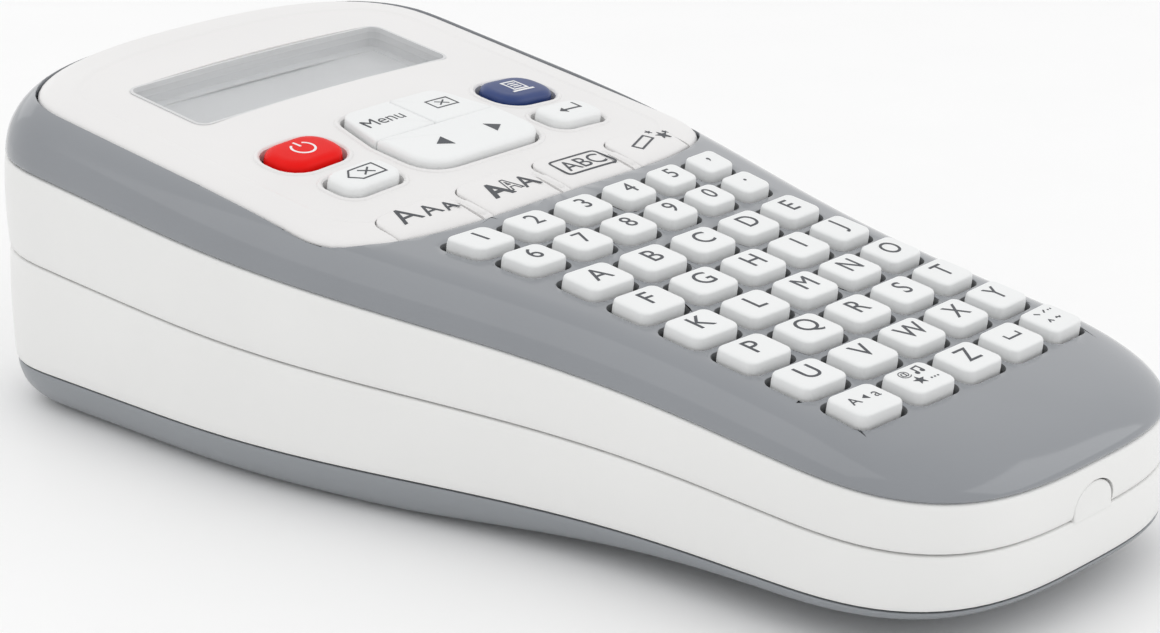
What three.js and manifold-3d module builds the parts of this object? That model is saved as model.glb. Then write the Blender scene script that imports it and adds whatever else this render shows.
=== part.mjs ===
// A handheld label maker: a bottle-shaped case with a sloping top, a display panel over the
// head, a bowed keyboard over the grip, and a back cover that swings down on its rear hooks.
// Millimetres. +Z is up, +Y points to the display end, +X is the user's right hand.
import * as THREE from "three";
import { mergeVertices } from "three/addons/utils/BufferGeometryUtils.js";
import Module from "manifold-3d";

const wasm = await Module();
wasm.setup();

// Case
const LENGTH = 204.5;
const HEAD_HALF = 53.4; // half width of the head
const GRIP_HALF = 38; // half width of the grip
const WIDEN_FROM = -63; // y where the grip starts to widen
const WIDEN_TO = 56; // y where the head has its full width
const FRONT_CAP = -68; // y where the front end starts to round
const REAR_CAP = 78; // y where the rear end starts to round
const CORNER_POWER = 3.1; // superellipse exponent of both ends
const WALL = 2.2;
const GAP = 0.3;
const BASE_Z = 8; // top edge of the dark base
const COVER_DRAFT = 0.25;

// Keyboard plane: it slopes up to the display and is slightly crowned across
const KEY_Y0 = -25.2; // y of the first letter row
const KEY_Z0 = 41.2;
const TILT = THREE.MathUtils.degToRad(7.87);
const CROWN = 0.00098; // drop in mm per mm2 of x
const BEZEL_RISE = 0.3; // bezel top above the key plane
const BEZEL_THICK = 1.8;
const THROUGH = [-12, 8]; // a cutter through the top, as heights from the key plane
const SHOULDER = { side: 8, front: 23, rear: 5 }; // how far the rounded edge reaches inwards

// Keys
const KEY = { top: 2.15, bottom: -5.4, corner: 1.3, edge: 0.8, taper: 0.6 };
const LETTER = { rows: 6, columns: 5, pitchX: 12.2, pitchV: 10.7, width: 9.35, length: 7.7 };
// fan is how much a row's columns spread per mm up the slope
const DIGIT_ROWS = [
  { name: "key_row_digits_lower", v: 11.5, pitchX: 10.7, width: 7.9, fan: 0.004 },
  { name: "key_row_digits_upper", v: 21.1, pitchX: 11.5, width: 8.25, fan: 0.006 },
];
const DIGIT = { columns: 6, length: 7 };
const BOW = 1.45 / 27 ** 2; // outer keys sit further back
const KEY_GAP = 0.75;
const WEB = { top: -5, thick: 0.8, width: 3 };
const MAT = { top: -7.3, thick: 0.8, gripHalf: 31, headHalf: 39, v0: -60, v1: 77 };
const BOARD = { top: -8.5, thick: 1.6, gripHalf: 33, headHalf: 42, v0: -64, v1: 112 };

// Display panel
const PANEL_HALF = 46.6;
const PANEL_FRONT = 4.1;
const PANEL_FRONT_CAP = 24;
const PANEL_REAR = 98.8;
const PANEL_TOP = 0.5;
const PANEL_THICK = 2;
const WINDOW = { width: 61.3, v0: 86.5, v1: 106.5, top: -1, thick: 1.4 };
const LCD = { top: -4.5, bottom: -7.7, half: 33, margin: 3 };
const FUNCTION_KEYS = [
  { name: "power_key", x: -26.4, v: 67, width: 13.6, length: 10.8, colour: 0xe8201a },
  { name: "print_key", x: 26.4, v: 67, width: 13.6, length: 10.8, colour: 0x1f3873 },
  { name: "backspace_key", x: -26, v: 52.7, width: 12.2, length: 7.6 },
  { name: "enter_key", x: 25.4, v: 53, width: 12.2, length: 7.6 },
];
const FUNCTION_CORNER = 2.6;
const FUNCTION_GAP = 0.8;
const NAV = { half: 15.2, v0: 47.2, vSplit: 61.4, v1: 74, taper: 3, gap: 0.6, corner: 5 };
const STYLE_KEYS = ["size", "style", "frame", "symbol"];
const STYLE = { pitch: 18.75, rib: 2.4, vBack: 41, tops: [0.5, 1.2, 1.2, 0.5] };

// Print mechanism in the head
const TAPE = { x: 20, z0: 17.5, width: 12, y1: 91 };
const CASSETTE = { x0: -40, x1: 26, y0: 14, y1: 66, z0: 15, z1: 32, wall: 1.2 };
const DECK = { z0: 33, thick: 1.5, x0: -42.3, x1: 41, y1: 88 };
const GEAR = { module: 1, z0: 35.2, thick: 2.6, bore: 1.5 };
// A tooth's corners: turn in tooth steps, height from the pitch circle in modules
const TOOTH = [[-0.33, -0.95], [-0.15, 0.58], [0.15, 0.58], [0.33, -0.95]];
const PLATEN = { x: 24.55, y: 76, radius: 4.2, shaft: 1.3, z0: 16.5, z1: 30.5, teeth: 19 };
const IDLER = { teeth: 24, angle: -60 };
const PINION = { teeth: 10, angle: -80 };
const RIBBON = { teeth: 26, angle: 187 };
const REEL = { x: -18, y: 40, radius: 18 };
const HEAD = { x0: 15.4, y0: 71, y1: 81, z0: 15, z1: 32, sink: 3.1 }; // print head and its sink
const BRACKET = { x1: 31.5, y0: 70.5, y1: 81.5, z0: 13.5, z1: 32.5, thick: 1.5 };
const MOTOR = { radius: 7.5, z0: 11, z1: 32.4 };
const SLOT = { half: 1.5, y0: 96, y1: 110, margin: 1 }; // where the tape leaves the rear wall
const SCREW = { x: 24, ys: [-26, 4], head: 2.6, shank: 1.2, hole: 1.5 };

// Cutter on the right side of the head
const LEVER = { x: 48.2, y: 50, z0: 28.6, z1: 32.6, boss: 2.5, tipY: 92 };
const PAD = { x0: 50.9, x1: 53.1, y0: 53, y1: 80, z1: 38.5 };
const PORT = { x0: 45, x1: 60, side: 0.6, below: 0.3, above: 0.4 }; // the lever's window
const BLADE = { y0: 93.3, y1: 93.9, z0: 16, z1: 31 };
const CARRIER = { x0: 24, x1: 40.6, y0: 91.4, y1: 94.6 };

// Batteries: six side by side under the keyboard
const BATTERY = { radius: 5.2, length: 44, pitch: 10.8, y0: -80.4, z: 12.1, count: 6 };
const NIB = { radius: 1.8, length: 1.6 }; // a battery's positive end
const CONTACT = { front: -81.1, rear: -34.9, half: 31.5, thick: 0.5, height: 7 };
const TRAY = { half: 34.1, y0: -83, y1: -33, z0: 8.5, z1: 19.6, wall: 1.3 };

// Back cover: a tongue in the front end, two hooks at the rear, feet under the grip
const TONGUE = { x: 0, width: 10, height: 5, foot: -4, arch: 0.7 };
const HOOK = {
  x: 24,
  half: 5,
  y0: 95.8,
  y1: 97.4,
  rootY: 101,
  seamY: 96,
  below: 6,
  above: 3,
  root: 2,
};
const FOOT = { x: 11, y: -66, top: 4.5, radius: 5 };

const COLOURS = {
  white: [0xeceae7, 0.38, 0],
  grey: [0x939598, 0.15, 0],
  panel: [0xe8e6e5, 0.35, 0],
  key: [0xf0f0ef, 0.5, 0],
  glass: [0xc9ccce, 0.1, 0],
  lcd: [0xb4b8b2, 0.4, 0],
  silicone: [0xc9cbd0, 0.7, 0],
  board: [0x2c6b3f, 0.5, 0],
  frame: [0x3a3c40, 0.6, 0],
  steel: [0xb6b8bc, 0.3, 0.9],
  rubber: [0x1f1f20, 0.8, 0],
  gear: [0xe3dfd2, 0.5, 0],
  battery: [0xc8a24a, 0.35, 0.4],
  cassette: [0xd9dde2, 0.4, 0],
  tape: [0xfafafa, 0.4, 0],
};

const root = new THREE.Group();
const keyFrame = new THREE.Group(); // its XY plane is the keyboard plane
keyFrame.position.set(0, KEY_Y0, KEY_Z0);
keyFrame.rotation.x = TILT;
keyFrame.updateMatrix();
root.add(keyFrame);

function material(kind, colour) {
  const [base, roughness, metalness] = COLOURS[kind];
  return new THREE.MeshStandardMaterial({ color: colour ?? base, roughness, metalness });
}

// A closed geometry as a manifold solid
function solid(geometry) {
  const bare = geometry.clone();
  bare.deleteAttribute("normal");
  bare.deleteAttribute("uv");
  const merged = mergeVertices(bare, 1e-4);
  return new wasm.Manifold(
    new wasm.Mesh({
      numProp: 3,
      vertProperties: merged.attributes.position.array,
      triVerts: new Uint32Array(merged.index.array),
    }),
  );
}

function add(name, shape, kind, { parent = root, colour } = {}) {
  const cut = shape.getMesh();
  const geometry = new THREE.BufferGeometry();
  geometry.setAttribute("position", new THREE.BufferAttribute(cut.vertProperties, 3));
  geometry.setIndex(new THREE.BufferAttribute(cut.triVerts, 1));
  geometry.computeVertexNormals();
  const mesh = new THREE.Mesh(geometry, material(kind, colour));
  mesh.name = name;
  parent.add(mesh);
  return mesh;
}

function union(shapes) {
  return shapes.reduce((whole, shape) => whole.add(shape));
}

function box(x0, x1, y0, y1, z0, z1) {
  const geometry = new THREE.BoxGeometry(x1 - x0, y1 - y0, z1 - z0);
  return solid(geometry.translate((x0 + x1) / 2, (y0 + y1) / 2, (z0 + z1) / 2));
}

// A round bar along Z
function bar(x, y, z0, z1, radius, sides = 16) {
  const geometry = new THREE.CylinderGeometry(radius, radius, z1 - z0, sides);
  return solid(geometry.rotateX(Math.PI / 2).translate(x, y, (z0 + z1) / 2));
}

// A flat outline of [x, y] points pushed up from z0 to z1
function slab(points, z0, z1) {
  const shape = new THREE.Shape(points.map(([x, y]) => new THREE.Vector2(x, y)));
  const geometry = new THREE.ExtrudeGeometry(shape, { depth: z1 - z0, bevelEnabled: false });
  return solid(geometry.translate(0, 0, z0));
}

// A skin over rings of equal length, listed upwards, each anticlockwise seen from above
function loft(rings) {
  const count = rings[0].length;
  const centre = (ring) => [0, 1, 2].map((k) => ring.reduce((sum, p) => sum + p[k], 0) / count);
  const positions = [...rings.flat(), centre(rings[0]), centre(rings.at(-1))].flat();
  const faces = [];
  const low = rings.length * count;
  const top = (rings.length - 1) * count;
  for (let i = 0; i < count; i++) {
    const next = (i + 1) % count;
    for (let r = 0; r < rings.length - 1; r++) {
      const a = r * count;
      const b = a + count;
      faces.push(a + i, a + next, b + next, a + i, b + next, b + i);
    }
    faces.push(low, next, i, low + 1, top + i, top + next);
  }
  const geometry = new THREE.BufferGeometry();
  geometry.setAttribute("position", new THREE.Float32BufferAttribute(positions, 3));
  geometry.setIndex(faces);
  return solid(geometry);
}

// Quarter of a superellipse from the centre line to the side, as [x, y] fractions
function capFractions(steps) {
  return Array.from({ length: steps }, (_, i) => {
    const angle = (Math.PI / 2) * (1 - i / steps);
    return [Math.cos(angle), Math.sin(angle)].map((f) => Math.max(f, 0) ** (2 / CORNER_POWER));
  });
}

// Closed outline from the half width at each y and the two ends, anticlockwise from the rear
function outline({ half, rear, rearCap, front, frontCap, capSteps = 6, sideSteps = 8 }) {
  const caps = capFractions(capSteps);
  const left = caps.map(([fx, fy]) => [-half(rearCap) * fx, rearCap + (rear - rearCap) * fy]);
  for (let i = 0; i <= sideSteps; i++) {
    const y = THREE.MathUtils.lerp(rearCap, frontCap, i / sideSteps);
    left.push([-half(y), y]);
  }
  caps.reverse().forEach(([fx, fy]) => {
    left.push([-half(frontCap) * fx, frontCap - (frontCap - front) * fy]);
  });
  const right = left.slice(1, -1).reverse();
  return [...left, ...right.map(([x, y]) => [-x, y])];
}

function halfWidth(y) {
  const widening = THREE.MathUtils.smootherstep(y, WIDEN_FROM, WIDEN_TO);
  return GRIP_HALF + (HEAD_HALF - GRIP_HALF) * widening;
}

// The case outline drawn in by the given amounts
function caseOutline(side, front = side, rear = side) {
  return outline({
    half: (y) => halfWidth(y) - side,
    rear: LENGTH / 2 - rear,
    rearCap: REAR_CAP,
    front: front - LENGTH / 2,
    frontCap: FRONT_CAP,
  });
}

function panelOutline(inset) {
  return outline({
    half: () => PANEL_HALF - inset,
    rear: PANEL_REAR - inset,
    rearCap: REAR_CAP,
    front: PANEL_FRONT + inset,
    frontCap: PANEL_FRONT_CAP,
    sideSteps: 4,
  });
}

// Heights along the case
const bandZ = (y) => 35.8 + 0.109 * y; // where the dark bezel meets the white wall
const seamZ = (y) => 22.8 + 0.055 * y + 0.34 * (y / 100) ** 2 + 0.87 * (y / 100) ** 3;
const surfaceZ = (x, y, h) =>
  KEY_Z0 + (y - KEY_Y0) * Math.tan(TILT) + h / Math.cos(TILT) - CROWN * x * x;

const lift = (points, heightAt) => points.map(([x, y]) => [x, y, heightAt(x, y)]);

// Rings shrinking towards the outline's middle, so that a crowned top can follow the crown
function crownRings(points, h) {
  const mid = (Math.max(...points.map((p) => p[1])) + Math.min(...points.map((p) => p[1]))) / 2;
  return [1, 0.6].map((f) =>
    lift(
      points.map(([x, y]) => [x * f, mid + (y - mid) * f]),
      (x, y) => surfaceZ(x, y, h),
    ),
  );
}

// Case walls
function wallRing(side, bottom, top) {
  return loft([lift(caseOutline(side), bottom), lift(caseOutline(side), top)]);
}

function tongueOutline(grow) {
  const half = TONGUE.width / 2 + grow;
  const straight = TONGUE.height + grow - half * TONGUE.arch;
  const arc = Array.from({ length: 9 }, (_, i) => {
    const angle = (Math.PI * i) / 8;
    return [half * Math.cos(angle), straight + half * TONGUE.arch * Math.sin(angle)];
  });
  return [[half, TONGUE.foot], ...arc, [-half, TONGUE.foot]];
}

// The tongue's outline stands in the front wall, so the slab is turned upright
function tongue(grow, y0, y1) {
  const base = seamZ(-LENGTH / 2);
  const shape = new THREE.Shape(tongueOutline(grow).map(([x, z]) => new THREE.Vector2(x, z)));
  const geometry = new THREE.ExtrudeGeometry(shape, { depth: y1 - y0, bevelEnabled: false });
  return solid(geometry.rotateX(Math.PI / 2).translate(TONGUE.x, y1, base));
}

const frontFace = -LENGTH / 2;
const slotZ = [TAPE.z0 - SLOT.margin, TAPE.z0 + TAPE.width + SLOT.margin];
const tapeSlot = box(TAPE.x - SLOT.half, TAPE.x + SLOT.half, SLOT.y0, SLOT.y1, ...slotZ);
const leverWindow = box(
  PORT.x0,
  PORT.x1,
  PAD.y0 - PORT.side,
  PAD.y1 + PORT.side,
  LEVER.z0 - PORT.below,
  PAD.z1 + PORT.above,
);

const upperHousing = wallRing(0, (x, y) => seamZ(y) + GAP / 2, (x, y) => bandZ(y) - 0.4)
  .subtract(wallRing(WALL, (x, y) => seamZ(y) - 2, (x, y) => bandZ(y) + 2))
  .subtract(tapeSlot)
  .subtract(leverWindow)
  .subtract(tongue(GAP, frontFace - 1, frontFace + WALL + 1));
add("upper_housing", upperHousing, "white");

const hookSeam = seamZ(HOOK.seamY);
const hookBars = [
  { y1: HOOK.y1, top: hookSeam + HOOK.above },
  { y1: HOOK.rootY, top: hookSeam - HOOK.root },
];
const hooks = hookBars.flatMap(({ y1, top }) =>
  [-HOOK.x, HOOK.x].map((x) =>
    box(x - HOOK.half, x + HOOK.half, HOOK.y0, y1, hookSeam - HOOK.below, top),
  ),
);
const coverWall = loft([
  lift(caseOutline(COVER_DRAFT), () => BASE_Z + GAP / 2),
  lift(caseOutline(0), (x, y) => seamZ(y) - GAP / 2),
])
  .subtract(wallRing(WALL, () => BASE_Z - 2, (x, y) => seamZ(y) + 2))
  .add(tongue(0, frontFace + 0.1, frontFace + WALL))
  .add(union(hooks))
  .subtract(tapeSlot);
add("cover_wall", coverWall, "white");

// Dark base: flat under the head, rounded and slightly raised under the grip
const SOLE = { headInset: 8, gripInset: 29, frontInset: 50, rise: 1.8 };
function soleOutline() {
  return outline({
    half: (y) => {
      const widening = THREE.MathUtils.smoothstep(y, -35, 15);
      return halfWidth(y) - THREE.MathUtils.lerp(SOLE.gripInset, SOLE.headInset, widening);
    },
    rear: LENGTH / 2 - SOLE.headInset,
    rearCap: REAR_CAP,
    front: SOLE.frontInset - LENGTH / 2,
    frontCap: FRONT_CAP + SOLE.frontInset * 0.7,
  });
}
function soleRing(t, lower) {
  const rim = caseOutline(COVER_DRAFT + lower);
  const flat = soleOutline();
  const inwards = 1 - Math.cos((t * Math.PI) / 2);
  return rim.map(([x, y], i) => {
    const [fx, fy] = flat[i];
    const floor = SOLE.rise * THREE.MathUtils.smoothstep(-fy, 0, 52) + lower;
    const z = BASE_Z - GAP / 2 - (BASE_Z - GAP / 2 - floor) * Math.sin((t * Math.PI) / 2);
    return [THREE.MathUtils.lerp(x, fx, inwards), THREE.MathUtils.lerp(y, fy, inwards), z];
  });
}
function sole(lower) {
  return [1, 0.75, 0.5, 0.25, 0].map((t) => soleRing(t, lower));
}
const soleCut = sole(WALL);
soleCut.push(soleCut.at(-1).map(([x, y, z]) => [x, y, z + 5]));
const feet = [-FOOT.x, FOOT.x].map((x) => bar(x, FOOT.y, 0, FOOT.top, FOOT.radius));
const base = loft(sole(0)).subtract(loft(soleCut)).add(union(feet));
add("cover_base", base, "grey");

// Keyboard bezel: a shoulder that rises from the band and rounds over into the keyboard field
function shoulderRings(inset, drop) {
  return [0, 0.25, 0.5, 0.75, 1].map((t) => {
    const inwards = 1 - Math.cos((t * Math.PI) / 2);
    const points = caseOutline(
      inset + SHOULDER.side * inwards,
      inset + SHOULDER.front * inwards,
      inset + SHOULDER.rear * inwards,
    );
    return lift(points, (x, y) => {
      const top = surfaceZ(x, y, BEZEL_RISE - drop);
      return THREE.MathUtils.lerp(bandZ(y) - drop, top, Math.sin((t * Math.PI) / 2));
    });
  });
}
function bezelSkin(inset, drop) {
  const rings = shoulderRings(inset, drop);
  const field = rings.at(-1).map(([x, y]) => [x, y]);
  return [...rings, ...crownRings(field, BEZEL_RISE - drop).slice(1)];
}
const inner = bezelSkin(WALL, BEZEL_THICK);
inner.unshift(inner[0].map(([x, y, z]) => [x, y, z - 3]));

// Keys stand in the keyboard plane's own frame: x across, v up the slope, h out of it
function chamfered(width, length, corner) {
  const a = width / 2;
  const b = length / 2;
  const half = [[a, -b + corner], [a, b - corner], [a - corner, b], [corner - a, b]];
  return [...half, ...half.map(([x, y]) => [-x, -y])];
}
// A point of a key: rows bow back at their ends, and columns close up towards the front
function onKey({ x, v, bow = 0, fan = 0 }, [dx, dv]) {
  const across = (x + dx) * (1 + fan * dv);
  return [across, v + dv + bow * across ** 2];
}
function keyCap(key) {
  const { x, width, length, corner = KEY.corner } = key;
  const crown = CROWN * x * x;
  const ring = (inset, h) =>
    chamfered(width - 2 * inset, length - 2 * inset, corner).map((p) => [...onKey(key, p), h]);
  const top = KEY.top - crown;
  return loft([ring(0, KEY.bottom), ring(0, top - KEY.edge), ring(KEY.taper, top)]);
}
function opening(key, grow = KEY_GAP) {
  const { width, length, corner = KEY.corner } = key;
  const points = chamfered(width + 2 * grow, length + 2 * grow, corner + grow * 0.6);
  return slab(points.map((p) => onKey(key, p)), ...THROUGH);
}

function rowOfKeys(columns, pitchX, v, size) {
  return Array.from({ length: columns }, (_, i) => {
    return { x: (i - (columns - 1) / 2) * pitchX, v, bow: BOW, ...size };
  });
}
const letterSize = { width: LETTER.width, length: LETTER.length };
const keyRows = [
  ...Array.from({ length: LETTER.rows }, (_, r) => ({
    name: `key_row_letters_${r + 1}`,
    keys: rowOfKeys(LETTER.columns, LETTER.pitchX, -r * LETTER.pitchV, letterSize),
  })),
  ...DIGIT_ROWS.map(({ name, v, pitchX, width, fan }) => ({
    name,
    keys: rowOfKeys(DIGIT.columns, pitchX, v, { width, length: DIGIT.length, fan }),
  })),
];

// The thin silicone strip that joins a row's keys under the bezel
function web(keys) {
  const front = keys.map((key) => onKey(key, [0, -WEB.width / 2]));
  const back = keys.map((key) => onKey(key, [0, WEB.width / 2])).reverse();
  return slab([...front, ...back], WEB.top - WEB.thick, WEB.top);
}
for (const { name, keys } of keyRows) {
  add(name, union([...keys.map(keyCap), web(keys)]), "key", { parent: keyFrame });
}
const toWorld = (shape) => shape.transform(keyFrame.matrix.toArray());

// The openings don't touch each other, so the bezel keeps a bar between the keys
const keyOpenings = union(keyRows.flatMap(({ keys }) => keys.map((key) => opening(key))));
const panelHole = loft([
  lift(panelOutline(-GAP), (x, y) => surfaceZ(x, y, -16)),
  lift(panelOutline(-GAP), (x, y) => surfaceZ(x, y, 8)),
]);
const bezel = loft(bezelSkin(0.15, 0))
  .subtract(loft(inner))
  .subtract(toWorld(keyOpenings))
  .subtract(panelHole);
add("keyboard_bezel", bezel, "grey");

// Display panel
const panelBottom = PANEL_TOP - PANEL_THICK;
const panelSkin = loft([
  lift(panelOutline(0.6), (x, y) => surfaceZ(x, y, panelBottom)),
  lift(panelOutline(0), (x, y) => surfaceZ(x, y, -1.2)),
  lift(panelOutline(0.5), (x, y) => surfaceZ(x, y, -0.2)),
  ...crownRings(panelOutline(1.5), PANEL_TOP),
]);
const windowHole = slab(
  [
    [-WINDOW.width / 2 - GAP, WINDOW.v0 - GAP],
    [WINDOW.width / 2 + GAP, WINDOW.v0 - GAP],
    [WINDOW.width / 2 + GAP, WINDOW.v1 + GAP],
    [-WINDOW.width / 2 - GAP, WINDOW.v1 + GAP],
  ],
  ...THROUGH,
);
const navHole = slab(
  [
    [-NAV.half, NAV.v0],
    [NAV.half, NAV.v0],
    [NAV.half, NAV.vSplit],
    [NAV.half - NAV.taper, NAV.v1],
    [NAV.taper - NAV.half, NAV.v1],
    [-NAV.half, NAV.vSplit],
  ],
  ...THROUGH,
);

// Front edge of the panel in the keyboard plane, at x
function panelFrontV(x) {
  const reach = (1 - (Math.abs(x) / PANEL_HALF) ** CORNER_POWER) ** (1 / CORNER_POWER);
  const y = PANEL_FRONT_CAP - (PANEL_FRONT_CAP - PANEL_FRONT) * reach;
  return (y - KEY_Y0) / Math.cos(TILT);
}
function styleOutline(index, grow, front) {
  const x0 = (index - 2) * STYLE.pitch + STYLE.rib / 2 - grow;
  const x1 = (index - 1) * STYLE.pitch - STYLE.rib / 2 + grow;
  const edge = [0, 1, 2, 3].map((i) => {
    const x = THREE.MathUtils.lerp(x0, x1, i / 3);
    return [x, front ?? panelFrontV(x) + 0.5];
  });
  return [...edge, [x1, STYLE.vBack + grow], [x0, STYLE.vBack + grow]];
}
const styleCuts = STYLE_KEYS.map((_, i) => slab(styleOutline(i, GAP, 20), ...THROUGH));
const keyCuts = FUNCTION_KEYS.map((key) => opening({ corner: FUNCTION_CORNER, ...key }, FUNCTION_GAP));
const panelCuts = union([windowHole, navHole, ...styleCuts, ...keyCuts]);
add("display_panel", panelSkin.subtract(toWorld(panelCuts)), "panel");

for (const key of FUNCTION_KEYS) {
  const { name, colour } = key;
  add(name, keyCap({ corner: FUNCTION_CORNER, ...key }), "key", { parent: keyFrame, colour });
}
STYLE_KEYS.forEach((name, i) => {
  const cap = slab(styleOutline(i, 0), KEY.bottom + 0.5, STYLE.tops[i]);
  add(`${name}_key`, cap, "key", { parent: keyFrame });
});
for (const [name, side] of [["menu_key", -1], ["escape_key", 1]]) {
  const points = [
    [side * 0.4, NAV.vSplit + GAP],
    [side * (NAV.half - NAV.gap), NAV.vSplit + GAP],
    [side * (NAV.half - NAV.taper - NAV.gap), NAV.v1 - NAV.gap],
    [side * 0.4, NAV.v1 - NAV.gap],
  ];
  const cap = slab(side > 0 ? points : points.reverse(), KEY.bottom, 1.6);
  add(name, cap, "key", { parent: keyFrame });
}
const rocker = chamfered(2 * (NAV.half - NAV.gap), NAV.vSplit - NAV.v0 - 0.9, NAV.corner);
const rockerMid = (NAV.v0 + NAV.vSplit) / 2 + 0.1;
const rockerPoints = rocker.map(([x, v]) => [x, v + rockerMid]);
add("arrow_rocker", slab(rockerPoints, KEY.bottom, 2.2), "key", { parent: keyFrame });

// Window, display, contact mat and board lie under the top, parallel to the keyboard plane
const halfWindow = WINDOW.width / 2;
const windowBottom = WINDOW.top - WINDOW.thick;
const glass = box(-halfWindow, halfWindow, WINDOW.v0, WINDOW.v1, windowBottom, WINDOW.top);
add("display_window", glass, "glass", { parent: keyFrame });
const lcdV = [WINDOW.v0 - LCD.margin, WINDOW.v1 + LCD.margin];
const lcd = box(-LCD.half, LCD.half, ...lcdV, LCD.bottom, LCD.top);
add("lcd_module", lcd, "lcd", { parent: keyFrame });

// A plate as wide as the grip and then as the head, in keyboard-plane coordinates
function plate({ gripHalf, headHalf, v0, v1, top, thick }) {
  const left = [[-gripHalf + 6, v0], [-gripHalf, v0 + 6], [-gripHalf, 6], [-headHalf, 44]];
  const sides = [...left, [-headHalf, v1]];
  const points = [...sides.map(([x, v]) => [-x, v]), ...[...sides].reverse()];
  return slab(points, top - thick, top);
}
add("keypad_mat", plate(MAT), "silicone", { parent: keyFrame });
add("main_board", plate(BOARD), "board", { parent: keyFrame });

// Chassis: the cassette bay and the battery tray hang from one deck
function pocket(x0, x1, y0, y1, z0, z1, wall) {
  const outer = box(x0 - wall, x1 + wall, y0 - wall, y1 + wall, z0, z1);
  return outer.subtract(box(x0, x1, y0, y1, z0 - 1, z1 - wall));
}
const bay = { x0: CASSETTE.x0 - 1, x1: CASSETTE.x1 + 1, y0: CASSETTE.y0 - 1, y1: CASSETTE.y1 + 1 };
const bayWalls = pocket(bay.x0, bay.x1, bay.y0, bay.y1, 12, DECK.z0 + DECK.thick, 1.5);
const deck = box(DECK.x0, DECK.x1, bay.y0 - 1.5, DECK.y1, DECK.z0, DECK.z0 + DECK.thick);
const tray = pocket(
  TRAY.wall - TRAY.half,
  TRAY.half - TRAY.wall,
  TRAY.y0 + TRAY.wall,
  TRAY.y1 - TRAY.wall,
  TRAY.z0,
  TRAY.z1,
  TRAY.wall,
);
const bridge = box(-30, 30, TRAY.y1 - 1, bay.y0 - 0.5, TRAY.z1 - 1.6, TRAY.z1);

// Gear train: each gear's centre is set off from the one that drives it
const pitchRadius = (teeth) => (teeth * GEAR.module) / 2;
function beside(from, to) {
  const reach = pitchRadius(from.teeth) + pitchRadius(to.teeth);
  const angle = THREE.MathUtils.degToRad(to.angle);
  return { ...to, x: from.x + reach * Math.cos(angle), y: from.y + reach * Math.sin(angle) };
}
const idler = beside(PLATEN, IDLER);
const pinion = beside(idler, PINION);
const ribbon = beside(idler, RIBBON);

// Turn of a gear so that its gap faces the driving gear's tooth
function meshPhase(from, to, fromPhase) {
  const angle = Math.atan2(to.y - from.y, to.x - from.x);
  const step = (2 * Math.PI) / from.teeth;
  const offset = (((fromPhase - angle) % step) + step) % step;
  const along = pitchRadius(from.teeth) * offset + (Math.PI * GEAR.module) / 2;
  return angle + Math.PI - along / pitchRadius(to.teeth);
}
const idlerPhase = meshPhase(PLATEN, idler, 0);
const pinionPhase = meshPhase(idler, pinion, idlerPhase);
const ribbonPhase = meshPhase(idler, ribbon, idlerPhase);

function gear({ x, y, teeth }, phase) {
  const radius = pitchRadius(teeth);
  const step = (2 * Math.PI) / teeth;
  const points = Array.from({ length: teeth }, (_, i) =>
    TOOTH.map(([turn, out]) => {
      const angle = phase + (i + turn) * step;
      const reach = radius + out * GEAR.module;
      return [x + reach * Math.cos(angle), y + reach * Math.sin(angle)];
    }),
  ).flat();
  return slab(points, GEAR.z0, GEAR.z0 + GEAR.thick);
}
const gearTop = GEAR.z0 + GEAR.thick;
const deckTop = DECK.z0 + DECK.thick;
const idlerPost = bar(idler.x, idler.y, deckTop - 0.5, gearTop, GEAR.bore - 0.3);
const shaftHoles = [PLATEN, pinion, ribbon].map(({ x, y }) => bar(x, y, 28, 40, 2));
const bayFloorHole = bar(ribbon.x, ribbon.y, 28, 40, 3.2);
const screwPlaces = [-SCREW.x, SCREW.x].flatMap((x) => SCREW.ys.map((y) => [x, y]));
const screwHoles = screwPlaces.map(([x, y]) => bar(x, y, 10, 30, SCREW.hole));
const tapeGate = box(TAPE.x - 3, TAPE.x + 3, bay.y1 - 1, bay.y1 + 3, 13, 31.5);
const chassis = union([bayWalls, deck, tray, bridge, idlerPost])
  .subtract(union([...shaftHoles, bayFloorHole, ...screwHoles, tapeGate]));
add("chassis", chassis, "frame");
screwPlaces.forEach(([x, y], i) => {
  const low = TRAY.z1 - 3.4;
  const shank = bar(x, y, low, TRAY.z1 + 6, SCREW.shank, 10);
  add(`case_screw_${i + 1}`, shank.add(bar(x, y, low, low + 1.5, SCREW.head, 12)), "steel");
});

const idlerBore = bar(idler.x, idler.y, GEAR.z0 - 1, gearTop + 1, GEAR.bore);
add("idler_gear", gear(idler, idlerPhase).subtract(idlerBore), "gear");
add("motor_pinion", gear(pinion, pinionPhase).add(bar(pinion.x, pinion.y, 33, gearTop, 1)), "gear");
const spindle = bar(ribbon.x, ribbon.y, 19, GEAR.z0 + 1, 2.6, 6);
add("ribbon_spindle", gear(ribbon, ribbonPhase).add(spindle), "gear");
add("motor", bar(pinion.x, pinion.y, MOTOR.z0, MOTOR.z1, MOTOR.radius, 20), "steel");

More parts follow.
